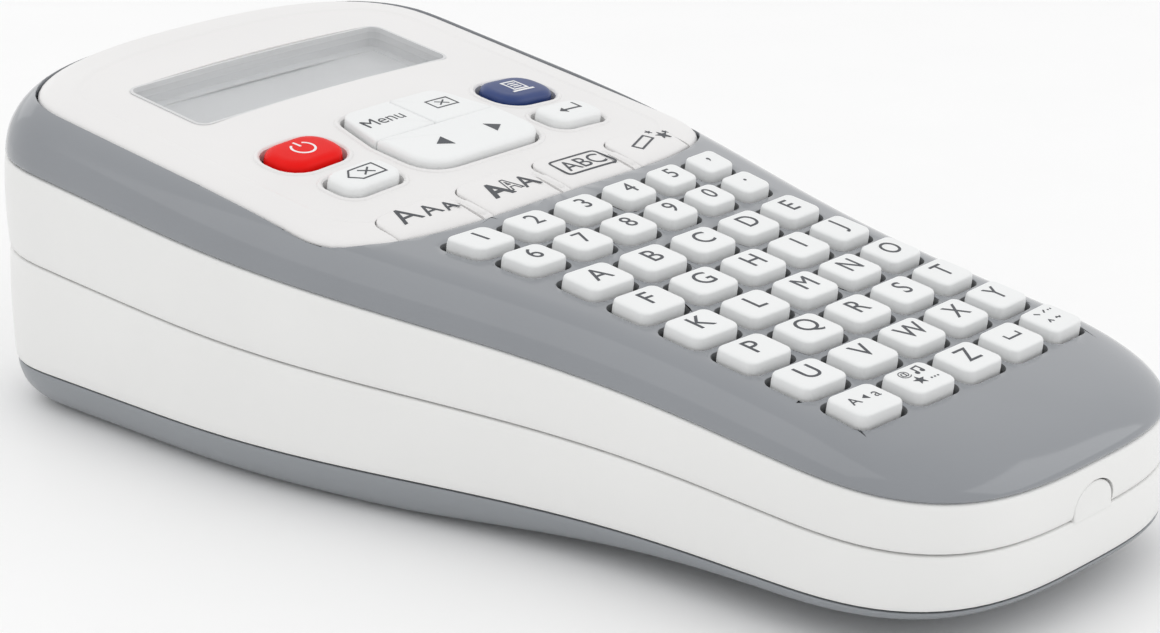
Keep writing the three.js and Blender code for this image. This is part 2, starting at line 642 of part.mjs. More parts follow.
// Platen: rubber roller on a geared steel shaft, in a bracket
const shaft = bar(PLATEN.x, PLATEN.y, 12.4, gearTop, PLATEN.shaft, 12);
add("platen_shaft", gear(PLATEN, 0).add(shaft), "steel");
const rollerBore = bar(PLATEN.x, PLATEN.y, 10, 40, PLATEN.shaft + 0.05, 12);
const roller = bar(PLATEN.x, PLATEN.y, PLATEN.z0, PLATEN.z1, PLATEN.radius, 20);
add("platen_roller", roller.subtract(rollerBore), "rubber");
const { x1: bx1, y0: by0, y1: by1, z0: bz0, z1: bz1, thick: bThick } = BRACKET;
const holder = union([
  box(PLATEN.x - 3.4, bx1, by0, by1, bz0, bz0 + bThick),
  box(PLATEN.x - 3.4, bx1, by0, by1, bz1 - bThick, bz1),
  box(bx1 - bThick, bx1, by0, by1, bz0, bz1),
]).subtract(bar(PLATEN.x, PLATEN.y, 10, 34, PLATEN.shaft + GAP, 12));
add("roller_holder", holder, "steel");
add("print_head", box(HEAD.x0, TAPE.x - 0.4, HEAD.y0, HEAD.y1, HEAD.z0, HEAD.z1), "frame");
const sinkSides = [HEAD.y0 - 0.5, HEAD.y1 + 0.5, HEAD.z0 - 1, HEAD.z1 + 0.6];
add("heat_sink", box(HEAD.x0 - GAP - HEAD.sink, HEAD.x0 - GAP, ...sinkSides), "steel");

// Tape cassette with its reel, and the tape run from it to the blade
const { x0: cx0, x1: cx1, y0: cy0, y1: cy1, z0: cz0, z1: cz1, wall } = CASSETTE;
const cassette = box(cx0, cx1, cy0, cy1, cz0, cz1)
  .subtract(box(cx0 + wall, cx1 - wall, cy0 + wall, cy1 - wall, cz0 + wall, cz1 - wall))
  .subtract(box(TAPE.x - 2, TAPE.x + 2, cy1 - 3, cy1 + 2, cz0 + wall, cz1 - wall))
  .subtract(bar(ribbon.x, ribbon.y, 10, 40, 3.4));
add("tape_cassette", cassette, "cassette");
const reelHeight = [cz0 + 2, cz1 - 2];
add("tape_reel", bar(REEL.x, REEL.y, ...reelHeight, REEL.radius, 24), "tape");
const tapeZ = [TAPE.z0, TAPE.z0 + TAPE.width];
add("tape_strip", box(TAPE.x - 0.1, TAPE.x + 0.1, cy1 - 1, TAPE.y1, ...tapeZ), "tape");

// Cutter: the side lever turns on a pin and pushes the blade carrier across the tape
const boss = bar(LEVER.x, LEVER.y, LEVER.z0, LEVER.z1, LEVER.boss);
const arm = slab(
  [
    [LEVER.x - 2, LEVER.y],
    [LEVER.x + 2.4, LEVER.y],
    [PAD.x0 + 0.4, PAD.y0 + 1],
    [PAD.x0 + 0.4, PAD.y1 - 2],
    [44.4, LEVER.tipY],
    [41, LEVER.tipY],
    [45.4, PAD.y1 - 4],
  ],
  LEVER.z0,
  LEVER.z1,
);
const pad = box(PAD.x0, PAD.x1, PAD.y0, PAD.y1, LEVER.z0, PAD.z1);
const lever = union([boss, arm, pad]).subtract(bar(LEVER.x, LEVER.y, 20, 40, 1.5, 12));
add("cutter_lever", lever, "grey");
add("lever_pin", bar(LEVER.x, LEVER.y, 25, 38, 1.2, 12), "steel");
const springOuter = bar(LEVER.x, LEVER.y, LEVER.z1 + 0.4, LEVER.z1 + 2.2, 2.4);
const springBore = bar(LEVER.x, LEVER.y, 20, 40, 1.5, 12);
add("lever_spring", springOuter.subtract(springBore), "steel");
const carrier = box(CARRIER.x0, CARRIER.x1, CARRIER.y0, CARRIER.y1, LEVER.z0, LEVER.z1);
add("blade_carrier", carrier, "frame");
const blade = box(TAPE.x + 0.8, CARRIER.x0 - GAP, BLADE.y0, BLADE.y1, BLADE.z0, BLADE.z1);
add("cutter_blade", blade, "steel");

// Batteries and their contacts
function cell(x) {
  const body = new THREE.CylinderGeometry(BATTERY.radius, BATTERY.radius, BATTERY.length, 14);
  const nib = new THREE.CylinderGeometry(NIB.radius, NIB.radius, NIB.length, 10);
  nib.translate(0, BATTERY.length / 2, 0);
  return union([solid(body), solid(nib)]).translate([
    x,
    BATTERY.y0 + BATTERY.length / 2,
    BATTERY.z,
  ]);
}
for (let i = 0; i < BATTERY.count; i++) {
  const x = (i - (BATTERY.count - 1) / 2) * BATTERY.pitch;
  add(`battery_${i + 1}`, cell(x), "battery");
}
const contactZ = [BATTERY.z - CONTACT.height / 2, BATTERY.z + CONTACT.height / 2];
for (const end of ["front", "rear"]) {
  const y = [CONTACT[end] - CONTACT.thick / 2, CONTACT[end] + CONTACT.thick / 2];
  const strip = box(-CONTACT.half, CONTACT.half, ...y, ...contactZ);
  add(`battery_contacts_${end}`, strip, "steel");
}

export default root;
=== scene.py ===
"""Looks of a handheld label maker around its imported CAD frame. Shapes are worked out in
millimetres in the same frame as the CAD (+Z up, +Y to the display end) and built in metres."""
import math

import bmesh
import bpy
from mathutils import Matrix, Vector


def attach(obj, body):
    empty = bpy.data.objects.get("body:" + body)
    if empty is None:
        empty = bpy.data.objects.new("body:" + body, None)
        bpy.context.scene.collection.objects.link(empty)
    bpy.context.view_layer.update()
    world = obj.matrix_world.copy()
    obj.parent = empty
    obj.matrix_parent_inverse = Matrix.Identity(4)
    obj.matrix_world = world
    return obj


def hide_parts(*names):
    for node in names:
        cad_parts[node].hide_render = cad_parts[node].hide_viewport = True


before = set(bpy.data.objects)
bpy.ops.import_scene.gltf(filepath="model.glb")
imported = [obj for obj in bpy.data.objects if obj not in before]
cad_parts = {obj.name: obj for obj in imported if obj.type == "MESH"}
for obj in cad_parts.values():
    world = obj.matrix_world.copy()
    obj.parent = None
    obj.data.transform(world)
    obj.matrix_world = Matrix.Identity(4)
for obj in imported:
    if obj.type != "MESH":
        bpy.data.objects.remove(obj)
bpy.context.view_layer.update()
MM = 0.001

# Case
LENGTH, HEAD_HALF, GRIP_HALF = 204.5, 53.4, 38.0
WIDEN_FROM, WIDEN_TO = -63.0, 56.0
FRONT_CAP, REAR_CAP = -68.0, 78.0
CORNER_POWER = 3.1  # superellipse exponent of every rounded end
POWER = 2 / CORNER_POWER
WALL, BASE_Z = 2.2, 8.0
COVER_DRAFT, BASE_RIM_Z = 0.25, 7.85
SHOULDER = (8.0, 23.0, 5.0)  # reach of the bezel's rounded edge at side, front and rear

# Keyboard plane
KEY_Y0, KEY_Z0, TILT = -25.2, 41.2, math.radians(7.87)
CROWN, BOW = 0.00098, 1.45 / 27**2
BEZEL_H, TOP_THICK = 0.3, 1.8
# Cutters through the top, as heights from the keyboard plane
THROUGH, PANEL_THROUGH = (-12, 8), (-16, 8)
PANEL_HALF, PANEL_FRONT, PANEL_FRONT_CAP, PANEL_REAR = 46.6, 4.1, 24.0, 98.8
PANEL_H = 0.5
FIELD_H = PANEL_H - 0.16  # the panel inside its border
PANEL_BOTTOM = -1.5


def lerp(a, b, t):
    return a + (b - a) * t


def ease(x, a, b, smoother=False):
    t = min(max((x - a) / (b - a), 0.0), 1.0)
    return t**3 * (t * (t * 6 - 15) + 10) if smoother else t * t * (3 - 2 * t)


DENSE = 600  # samples along a rounded end, from which even steps are picked


def quarter(steps, depth):
    """Angles from the centre line to the side, in even steps along a rounded end."""
    dense = [math.pi / 2 * (1 - i / DENSE) for i in range(DENSE + 1)]
    spots = [(math.cos(a) ** POWER, depth * math.sin(a) ** POWER) for a in dense]
    run = [0.0]
    for p, q in zip(spots, spots[1:]):
        run.append(run[-1] + math.dist(p, q))
    angles, j = [], 0
    for k in range(steps):
        target = run[-1] * k / steps
        while run[j + 1] < target:
            j += 1
        t = (target - run[j]) / (run[j + 1] - run[j])
        angles.append(lerp(dense[j], dense[j + 1], t))
    return angles


CASE_SIDES, PANEL_SIDES = 52, 24  # steps along a long side of each outline
CAP_STEPS = 24
REAR_ANGLES, FRONT_ANGLES = quarter(CAP_STEPS, 0.45), quarter(CAP_STEPS, 0.9)


def outline(half, rear, rear_cap, front, front_cap, front_angles, sides):
    """Closed outline, anticlockwise from the middle of the rear."""
    left = [
        (-half(rear_cap) * math.cos(a) ** POWER, lerp(rear_cap, rear, math.sin(a) ** POWER))
        for a in REAR_ANGLES
    ]
    for i in range(sides + 1):
        y = lerp(rear_cap, front_cap, i / sides)
        left.append((-half(y), y))
    left += [
        (-half(front_cap) * math.cos(a) ** POWER, lerp(front_cap, front, math.sin(a) ** POWER))
        for a in reversed(front_angles)
    ]
    return left + [(-x, y) for x, y in reversed(left[1:-1])]


def half_width(y):
    return lerp(GRIP_HALF, HEAD_HALF, ease(y, WIDEN_FROM, WIDEN_TO, True))


def case_outline(side, front=None, rear=None):
    front = side if front is None else front
    rear = side if rear is None else rear
    return outline(
        lambda y: half_width(y) - side,
        LENGTH / 2 - rear,
        REAR_CAP,
        front - LENGTH / 2,
        FRONT_CAP,
        FRONT_ANGLES,
        CASE_SIDES,
    )


def panel_outline(inset):
    return outline(
        lambda y: PANEL_HALF - inset,
        PANEL_REAR - inset,
        REAR_CAP,
        PANEL_FRONT + inset,
        PANEL_FRONT_CAP,
        REAR_ANGLES,
        PANEL_SIDES,
    )


def band_z(y):
    return 35.8 + 0.109 * y


def seam_z(y):
    t = y / 100
    return 22.8 + 0.055 * y + 0.34 * t**2 + 0.87 * t**3


def surface_z(x, y, h):
    return KEY_Z0 + (y - KEY_Y0) * math.tan(TILT) + h / math.cos(TILT) - CROWN * x * x


def plane(x, v, h):
    """A point of the keyboard plane's own frame in the CAD frame."""
    sin, cos = math.sin(TILT), math.cos(TILT)
    return (x, KEY_Y0 + v * cos - h * sin, KEY_Z0 + v * sin + h * cos)


# Mesh helpers
def loft(bm, rings, ends=True):
    """A skin over rings of equal length, closed by a fan at each end."""
    rows = [[bm.verts.new([c * MM for c in p]) for p in ring] for ring in rings]
    n = len(rows[0])
    for low, high in zip(rows, rows[1:]):
        for i in range(n):
            j = (i + 1) % n
            bm.faces.new((low[i], low[j], high[j], high[i]))
    if ends:
        for row, flip in ((rows[0], True), (rows[-1], False)):
            middle = sum((v.co for v in row), Vector()) / n
            hub = bm.verts.new(middle)
            for i in range(n):
                j = (i + 1) % n
                bm.faces.new((row[j], row[i], hub) if flip else (row[i], row[j], hub))
    else:
        for i in range(n):
            j = (i + 1) % n
            bm.faces.new((rows[-1][i], rows[-1][j], rows[0][j], rows[0][i]))
    return rows


def finish_mesh(name, bm, material, smooth=38):
    bmesh.ops.recalc_face_normals(bm, faces=bm.faces)
    mesh = bpy.data.meshes.new(name)
    bm.to_mesh(mesh)
    bm.free()
    piece = bpy.data.objects.new(name, mesh)
    bpy.context.scene.collection.objects.link(piece)
    shade(piece, smooth)
    if material:
        mesh.materials.append(material)
    return piece


def shade(piece, angle):
    piece.data.polygons.foreach_set("use_smooth", [True] * len(piece.data.polygons))
    piece.data.set_sharp_from_angle(angle=math.radians(angle))


def bake_modifiers(piece):
    graph = bpy.context.evaluated_depsgraph_get()
    mesh = bpy.data.meshes.new_from_object(piece.evaluated_get(graph))
    piece.modifiers.clear()
    piece.data = mesh


def cut(piece, cutter, smooth=38, bevel=0.0):
    """Cuts a piece with a throwaway solid, then rounds the new edges when a bevel width is given."""
    tool = piece.modifiers.new("cut", "BOOLEAN")
    tool.operation, tool.object, tool.solver = "DIFFERENCE", cutter, "EXACT"
    bake_modifiers(piece)
    bpy.data.objects.remove(cutter)
    if bevel:
        rim = piece.modifiers.new("rim", "BEVEL")
        rim.width, rim.segments, rim.limit_method = bevel * MM, 2, "ANGLE"
        rim.angle_limit, rim.use_clamp_overlap = math.radians(50), False
        bake_modifiers(piece)
    shade(piece, smooth)


def rounded(width, length, radius, arc=6, side=3):
    """Rounded rectangle about the origin, anticlockwise from the right side's low end."""
    a, b = width / 2 - radius, length / 2 - radius
    points = []
    corners = [(a, b, 0), (-a, b, 1), (-a, -b, 2), (a, -b, 3)]
    for k, (cx, cy, turn) in enumerate(corners):
        for i in range(arc + 1):
            angle = math.pi / 2 * (turn + i / arc)
            points.append((cx + radius * math.cos(angle), cy + radius * math.sin(angle)))
        nx, ny, _ = corners[(k + 1) % 4]
        end = math.pi / 2 * (turn + 1)
        last = points[-1]
        nxt = (nx + radius * math.cos(end), ny + radius * math.sin(end))
        points += [
            (lerp(last[0], nxt[0], i / side), lerp(last[1], nxt[1], i / side))
            for i in range(1, side)
        ]
    return points


# Materials
WEAR_RATIO = 4.3  # the wear's pattern is this much smaller than the colour drift's
PORE_DEPTH = 0.00004


def shader(
    name, colour, rough, tint=0.03, grain=0.0, metal=0.0, blotch=40.0, spread=0.06, pore=2600
):
    """Moulded plastic, metal or rubber: slight colour drift, worn gloss and a fine surface grain."""
    mat = bpy.data.materials.new(name)
    mat.use_nodes = True
    nodes, links = mat.node_tree.nodes, mat.node_tree.links
    body = nodes["Principled BSDF"]
    body.inputs["Metallic"].default_value = metal
    spot = nodes.new("ShaderNodeTexCoord")
    drift = nodes.new("ShaderNodeTexNoise")
    drift.inputs["Scale"].default_value = blotch
    drift.inputs["Detail"].default_value = 5
    links.new(spot.outputs["Object"], drift.inputs["Vector"])
    ramp = nodes.new("ShaderNodeValToRGB")
    for stop, place, factor in zip(ramp.color_ramp.elements, (0.3, 0.7), (1 - tint, 1 + tint)):
        stop.position = place
        stop.color = (*[min(c * factor, 1) for c in colour], 1)
    links.new(drift.outputs["Fac"], ramp.inputs["Fac"])
    links.new(ramp.outputs["Color"], body.inputs["Base Color"])
    wear = nodes.new("ShaderNodeTexNoise")
    wear.inputs["Scale"].default_value = blotch * WEAR_RATIO
    wear.inputs["Detail"].default_value = 8
    links.new(spot.outputs["Object"], wear.inputs["Vector"])
    span = nodes.new("ShaderNodeMapRange")
    span.inputs["To Min"].default_value = max(rough - spread, 0.02)
    span.inputs["To Max"].default_value = rough + spread
    links.new(wear.outputs["Fac"], span.inputs["Value"])
    links.new(span.outputs["Result"], body.inputs["Roughness"])
    if grain:
        pores = nodes.new("ShaderNodeTexNoise")
        pores.inputs["Scale"].default_value = pore
        pores.inputs["Detail"].default_value = 3
        links.new(spot.outputs["Object"], pores.inputs["Vector"])
        bump = nodes.new("ShaderNodeBump")
        bump.inputs["Strength"].default_value = grain
        bump.inputs["Distance"].default_value = PORE_DEPTH
        links.new(pores.outputs["Fac"], bump.inputs["Height"])
        links.new(bump.outputs["Normal"], body.inputs["Normal"])
    return mat


def set_socket(mat, name, value):
    mat.node_tree.nodes["Principled BSDF"].inputs[name].default_value = value


WHITE = shader("case_white_satin", (0.80, 0.80, 0.79), 0.34, 0.012, 0.10)
GREY = shader("case_grey_gloss", (0.238, 0.251, 0.270), 0.13, 0.03, 0.02, spread=0.035)
# Painted light: the base's grey is a little lighter than the bezel's to make up for the shade it sits
# in under the body. Its satin gloss is its own.
BASE_GREY_LIFTED = shader("base_grey_satin_lit_against_shade", (0.262, 0.277, 0.295), 0.3, 0.015, 0.04, spread=0.02)
set_socket(GREY, "Coat Weight", 0.5)
set_socket(GREY, "Coat Roughness", 0.06)
PANEL = shader("panel_warm_white", (0.80, 0.79, 0.785), 0.32, 0.012, 0.10)
KEY = shader("key_white_satin", (0.83, 0.84, 0.84), 0.42, 0.012, 0.16, pore=3400)
RED = shader("key_red_satin", (0.80, 0.006, 0.004), 0.40, 0.05, 0.14)
set_socket(RED, "Specular IOR Level", 0.12)
BLUE = shader("key_blue_satin", (0.010, 0.036, 0.165), 0.36, 0.08, 0.14)
INK = shader("printed_ink", (0.055, 0.060, 0.070), 0.5, 0.15, 0.1)
INK_WHITE = shader("printed_ink_white", (0.85, 0.85, 0.85), 0.45, 0.03, 0.1)
LCD = shader("lcd_glass_grey", (0.66, 0.665, 0.67), 0.30, 0.03)
# Painted shade: a darker grey than the bezel for the walls of the key openings, standing in for the
# shade deep in the gaps round the keys.
SHADE = shader("opening_wall_painted_shade", (0.16, 0.165, 0.17), 0.55)
# The keypad mat is a real part, but its grey is set very dark as painted shade, so that the gaps round
# the keys look deep.
SILICONE_DARKENED = shader("silicone_grey", (0.10, 0.10, 0.105), 0.7, 0.05, 0.2)
BOARD = shader("board_green", (0.02, 0.12, 0.045), 0.35, 0.3, 0.3, blotch=260)
DARK = shader("frame_dark", (0.045, 0.046, 0.05), 0.5, 0.12, 0.3)
STEEL = shader("steel_bright", (0.56, 0.56, 0.57), 0.28, 0.08, 0.15, metal=1.0, spread=0.1)
RUBBER = shader("rubber_black", (0.018, 0.018, 0.019), 0.75, 0.2, 0.5)
GEARS = shader("gear_natural", (0.72, 0.69, 0.60), 0.42, 0.05, 0.15)
JACKET = shader("battery_jacket", (0.45, 0.30, 0.06), 0.3, 0.08, 0.05, metal=0.5)
CASSETTE = shader("cassette_smoke", (0.60, 0.63, 0.66), 0.3, 0.05, 0.1)
TAPE = shader("tape_white", (0.86, 0.86, 0.84), 0.4, 0.02, 0.05)
WINDOW = shader("window_clear", (0.70, 0.72, 0.74), 0.05, 0.01, spread=0.02)
set_socket(WINDOW, "Alpha", 0.16)


def settle(piece, body, *nodes):
    """Puts a piece on its body and lets it stand for its CAD nodes."""
    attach(piece, body)
    if nodes:
        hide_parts(*nodes)


# Case walls: the band's edge and the seam's edge are rounded, and the sides bulge a little
def wall(name, low, high, material, body, node, cutters=(), lip=0.55):
    profile = [(0.55, 0.0, 0), (0.18, 0.12, 0), (0.0, 0.5, 0)]
    profile += [(-0.28 * math.sin(math.pi * t / 8), 0, t / 8) for t in range(1, 8)]
    profile += [(0.0, -lip, 1), (0.12, -lip * 0.45, 1), (lip * 0.6, -0.08, 1), (lip + 0.3, 0, 1)]
    rings = []
    for inset, rise, t in profile:
        ring = case_outline(inset)
        rings.append([(x, y, lerp(low(y), high(y), t) + rise) for x, y in ring])
    for t in (1, 0):
        ring = case_outline(WALL)
        rings.append([(x, y, lerp(low(y), high(y), t)) for x, y in ring])
    bm = bmesh.new()
    loft(bm, rings, ends=False)
    piece = finish_mesh(name, bm, material)
    for cutter in cutters:
        cut(piece, cutter)
    settle(piece, body, node)


def block(x0, x1, y0, y1, z0, z1):
    """A throwaway cutter from its x, y and z spans."""
    bm = bmesh.new()
    loft(bm, [[(x0, y0, z), (x1, y0, z), (x1, y1, z), (x0, y1, z)] for z in (z0, z1)])
    return finish_mesh("cutter", bm, None)


# Latch tongue in the middle of the front end
TONGUE_HALF, TONGUE_HEIGHT, TONGUE_ARCH, TONGUE_FOOT = 5, 5, 0.7, 0.4
TONGUE_BASE = seam_z(-LENGTH / 2)


def tongue_points(grow):
    half = TONGUE_HALF + grow
    rise = half * TONGUE_ARCH
    straight = TONGUE_HEIGHT + grow - rise
    foot = TONGUE_BASE - TONGUE_FOOT
    arc = [math.pi * i / 24 for i in range(25)]
    points = [(half * math.cos(a), TONGUE_BASE + straight + rise * math.sin(a)) for a in arc]
    return [(half, foot)] + points + [(-half, foot)]


def tongue_mesh(grow, depths, rounding=0.0):
    """The tongue along Y, its outer edge drawn in by rounding."""
    bm = bmesh.new()
    rings = []
    for k, y in enumerate(depths):
        inset = 0 if k else rounding
        rings.append([(x, y, z) for x, z in tongue_points(grow - inset)])
    loft(bm, rings)
    return bm


# Openings as x, y and z spans
TAPE_SLOT = (18.5, 21.5, 96, 110, 16.5, 30.5)
LEVER_WINDOW = (45, 60, 52.4, 80.6, 28.3, 38.9)
NOTCH_GROW, NOTCH_DEPTHS = 0.3, (-104, -98)
EDGE_GAP, BEZEL_GAP, COVER_GAP = 0.15, 0.3, 0.13

lever_window = block(*LEVER_WINDOW)
notch = finish_mesh("cutter", tongue_mesh(NOTCH_GROW, NOTCH_DEPTHS), None)
wall(
    "upper_wall", lambda y: seam_z(y) + EDGE_GAP, lambda y: band_z(y) - BEZEL_GAP,
    WHITE, "housing", "upper_housing", (block(*TAPE_SLOT), lever_window, notch),
)
wall(
    "cover_shell", lambda y: BASE_Z + EDGE_GAP, lambda y: seam_z(y) - COVER_GAP,
    WHITE, "back_cover", "cover_wall", (block(*TAPE_SLOT),), lip=0.35,
)
front_y = -LENGTH / 2
tongue_depths = (front_y - 0.12, front_y + 0.05, front_y + WALL)
settle(finish_mesh("latch_tongue", tongue_mesh(0, tongue_depths, 0.18), WHITE), "back_cover")

# Hooks at the rear of the cover, as a profile of y and height from the seam
HOOK_X, HOOK_SEAM_Y = 24, 96
HOOK_PROFILE = [(95.8, -6), (101, -6), (101, -3), (97.4, -2), (97.4, 2.4), (96.6, 3), (95.8, 2.4)]
HOOK_ACROSS = (-5, -4.7, 4.7, 5)
hooks = bmesh.new()
for x in (-HOOK_X, HOOK_X):
    hook_z = seam_z(HOOK_SEAM_Y)
    loft(hooks, [[(x + dx, y, hook_z + h) for y, h in HOOK_PROFILE] for dx in HOOK_ACROSS])
settle(finish_mesh("cover_hooks", hooks, WHITE), "back_cover")


# Dark base: flat under the head, rounded and slightly raised under the grip
SOLE_HEAD, SOLE_GRIP, SOLE_FRONT = 8, 29, 50  # inset of the flat sole from the case outline
SOLE_FRONT_CAP = FRONT_CAP + 35
SOLE_RISE = 1.8
SOLE_WIDEN = (-35, 15)


def sole_outline():
    def half(y):
        return half_width(y) - lerp(SOLE_GRIP, SOLE_HEAD, ease(y, *SOLE_WIDEN))

    rear, front = LENGTH / 2 - SOLE_HEAD, SOLE_FRONT - LENGTH / 2
    return outline(half, rear, REAR_CAP, front, SOLE_FRONT_CAP, FRONT_ANGLES, CASE_SIDES)


def sole_z(y):
    return SOLE_RISE * ease(-y, 0, 52)


def sole_ring(t, lower):
    """A ring of the base, from its rim (t = 0) to the edge of the flat sole (t = 1)."""
    inwards, down = 1 - math.cos(t * math.pi / 2), math.sin(t * math.pi / 2)
    ring = []
    for (x, y), (fx, fy) in zip(case_outline(COVER_DRAFT + lower), sole_outline()):
        z = lerp(BASE_RIM_Z, sole_z(fy) + lower, down)
        ring.append((lerp(x, fx, inwards), lerp(y, fy, inwards), z))
    return ring


def spread(ring, factor, lower):
    """The ring drawn towards its middle, on the sole or the floor above it."""
    cy = (max(p[1] for p in ring) + min(p[1] for p in ring)) / 2
    spots = [(x * factor, cy + (y - cy) * factor) for x, y, _ in ring]
    return [(x, y, sole_z(y) + lower) for x, y in spots]


def base_shell():
    outer = [sole_ring(1 - i / 12, 0) for i in range(13)]
    rim = [(x * 0.998, y * 0.999, z) for x, y, z in outer.pop()]
    outer.append([(x, y, z - 0.25) for x, y, z in sole_ring(0, 0)])
    outer.append(rim)
    inner = [sole_ring(i / 8, WALL) for i in range(9)]
    rings = [spread(outer[0], k / 16, 0) for k in range(1, 16)] + outer + inner
    rings += [spread(inner[-1], 1 - k / 8, WALL) for k in range(1, 8)]
    bm = bmesh.new()
    loft(bm, rings)
    return finish_mesh("base_shell", bm, BASE_GREY_LIFTED)


settle(base_shell(), "back_cover", "cover_base")

# Feet, as a profile of radius and height
FOOT_X, FOOT_Y = 11, -66
FOOT_PROFILE = [(5, 4.2), (5, 0.7), (4.8, 0.3), (4.4, 0.06), (3.8, 0), (1.5, 0.05)]
FULL_TURN = [math.pi * i / 24 for i in range(48)]
feet = bmesh.new()
for x in (-FOOT_X, FOOT_X):
    rings = []
    for r, z in FOOT_PROFILE:
        rings.append([(x + r * math.cos(a), FOOT_Y + r * math.sin(a), z) for a in FULL_TURN])
    loft(feet, rings)
settle(finish_mesh("front_feet", feet, RUBBER), "back_cover")


# Keys: a row bows back at its ends, and the digit columns close up towards the front
KEY_BOTTOM, DRAFT, EDGE_STEPS = -5.4, 0.08, 6
KEY_DRAFT_FROM, PAD_DRAFT_FROM = 0.7, 0.5  # below the rounded edge
KEY_GAP, OPENING_BEVEL = 0.85, 0.12


class Key:
    def __init__(
        self, x, v, width, length, bow=0.0, fan=0.0, corner=1.45, top=2.1, edge=0.55, dome=0.07
    ):
        self.x, self.v, self.width, self.length = x, v, width, length
        self.bow, self.fan, self.corner = bow, fan, corner
        self.top, self.edge, self.dome = top, edge, dome

    def spot(self, dx, dv, h):
        across = (self.x + dx) * (1 + self.fan * dv)
        crown = CROWN * across**2 if h > -2 else 0  # the undersides lie level over the mat
        return plane(across, self.v + dv + self.bow * across**2, h - crown)

    def height(self, dx, dv):
        fx, fv = 2 * dx / self.width, 2 * dv / self.length
        return self.top + self.dome * (1 - min(fx * fx, 1)) * (1 - min(fv * fv, 1))

    def ring(self, inset, h, shrink=1.0):
        """A ring of the key at height h, or on its domed top where h is None."""
        width, length = self.width - 2 * inset, self.length - 2 * inset
        points = rounded(width, length, max(self.corner - inset * 0.7, 0.5))
        ring = []
        for dx, dv in points:
            dx, dv = dx * shrink, dv * shrink
            ring.append(self.spot(dx, dv, self.height(dx, dv) if h is None else h))
        return ring

    def build(self, bm):
        rings = [self.ring(0, KEY_BOTTOM), self.ring(0, self.top - self.edge - KEY_DRAFT_FROM)]
        for i in range(EDGE_STEPS + 1):
            a = math.pi / 2 * i / EDGE_STEPS
            inset = DRAFT + self.edge * (1 - math.cos(a))
            h = None if i == EDGE_STEPS else self.top - self.edge * (1 - math.sin(a))
            rings.append(self.ring(inset, h))
        rings += [self.ring(DRAFT + self.edge, None, f) for f in (0.85, 0.6, 0.3)]
        loft(bm, rings)

    def opening(self, bm, grow):
        points = rounded(self.width + 2 * grow, self.length + 2 * grow, self.corner + grow)
        loft(bm, [[self.spot(dx, dv, h) for dx, dv in points] for h in THROUGH])


def row(columns, pitch, v, **size):
    return [Key((i - (columns - 1) / 2) * pitch, v, bow=BOW, **size) for i in range(columns)]


LETTER_PITCH_X, LETTER_PITCH_V = 12.2, 10.7
LETTER_SIZE = {"width": 9.35, "length": 7.7}
LETTERS = [*"ABCDE"], [*"FGHIJ"], [*"KLMNO"], [*"PQRST"], [*"UVWXY"]
SYMBOLS = ["case", "symbols", "Z", "space", "accents"]
ROWS = [
    (f"key_row_letters_{r + 1}", marks, row(5, LETTER_PITCH_X, -LETTER_PITCH_V * r, **LETTER_SIZE))
    for r, marks in enumerate([*LETTERS, SYMBOLS])
]
ROWS.append(("key_row_digits_lower", "67890.", row(6, 10.7, 11.5, width=7.9, length=7, fan=0.004)))
ROWS.append(("key_row_digits_upper", "12345,", row(6, 11.5, 21.1, width=8.25, length=7, fan=0.006)))


# Flat artwork in a key's own plane: closed loops filled, or strokes of one width
def glyph(text, size, weight=-0.004):
    """Points and faces of a letter, centred, in millimetres."""
    curve = bpy.data.curves.new("glyph", "FONT")
    curve.body, curve.size, curve.offset = text, size, weight * size
    curve.align_x, curve.align_y, curve.resolution_u = "CENTER", "CENTER", 5
    holder = bpy.data.objects.new("glyph", curve)
    bpy.context.scene.collection.objects.link(holder)
    graph = bpy.context.evaluated_depsgraph_get()
    mesh = bpy.data.meshes.new_from_object(holder.evaluated_get(graph))
    points = [(v.co.x, v.co.y) for v in mesh.vertices]
    faces = [tuple(p.vertices) for p in mesh.polygons]
    bpy.data.objects.remove(holder)
    bpy.data.meshes.remove(mesh)
    low = [min(p[k] for p in points) for k in (0, 1)]
    high = [max(p[k] for p in points) for k in (0, 1)]
    mid = [(a + b) / 2 for a, b in zip(low, high)]
    return [(x - mid[0], y - mid[1]) for x, y in points], faces


def stroke(path, width, closed=False):
    """A ribbon along a path, as points and faces."""
    points, faces, n = [], [], len(path)
    for i, (x, y) in enumerate(path):
        before = path[i - 1] if i or closed else path[i]
        after = path[(i + 1) % n] if i < n - 1 or closed else path[i]
        d1 = Vector((x - before[0], y - before[1])).normalized() if before != (x, y) else None
        d2 = Vector((after[0] - x, after[1] - y)).normalized() if after != (x, y) else None
        d1, d2 = d1 or d2, d2 or d1
        along = (d1 + d2).normalized()
        reach = width / 2 / max(along.dot(d1), 0.5)
        dx, dy = along.y * reach, along.x * reach
        points += [(x - dx, y + dy), (x + dx, y - dy)]
    for i in range(n if closed else n - 1):
        a, b = 2 * i, 2 * ((i + 1) % n)
        faces.append((a + 1, b + 1, b, a))
    return points, faces


def filled(path):
    return list(path), [tuple(range(len(path)))]


def circle(cx, cy, r, start=0, end=360, steps=20):
    """Points of an arc, or of a whole circle without its repeated end."""
    count = steps + (abs(end - start) < 360)
    span = [math.radians(lerp(start, end, i / steps)) for i in range(count)]
    return [(cx + r * math.cos(a), cy + r * math.sin(a)) for a in span]


def star(cx, cy, r):
    path = []
    for i in range(10):
        reach, angle = r * 0.42 if i % 2 else r, math.pi / 2 + math.pi * i / 5
        path.append((cx + reach * math.cos(angle), cy + reach * math.sin(angle)))
    return path


def shift(art, dx, dy):
    points, faces = art
    return [(x + dx, y + dy) for x, y in points], faces


PRINT_LIFT = 0.05  # the print reaches this far above and below the surface
ART_STEP = 0.9  # longest edge of the print


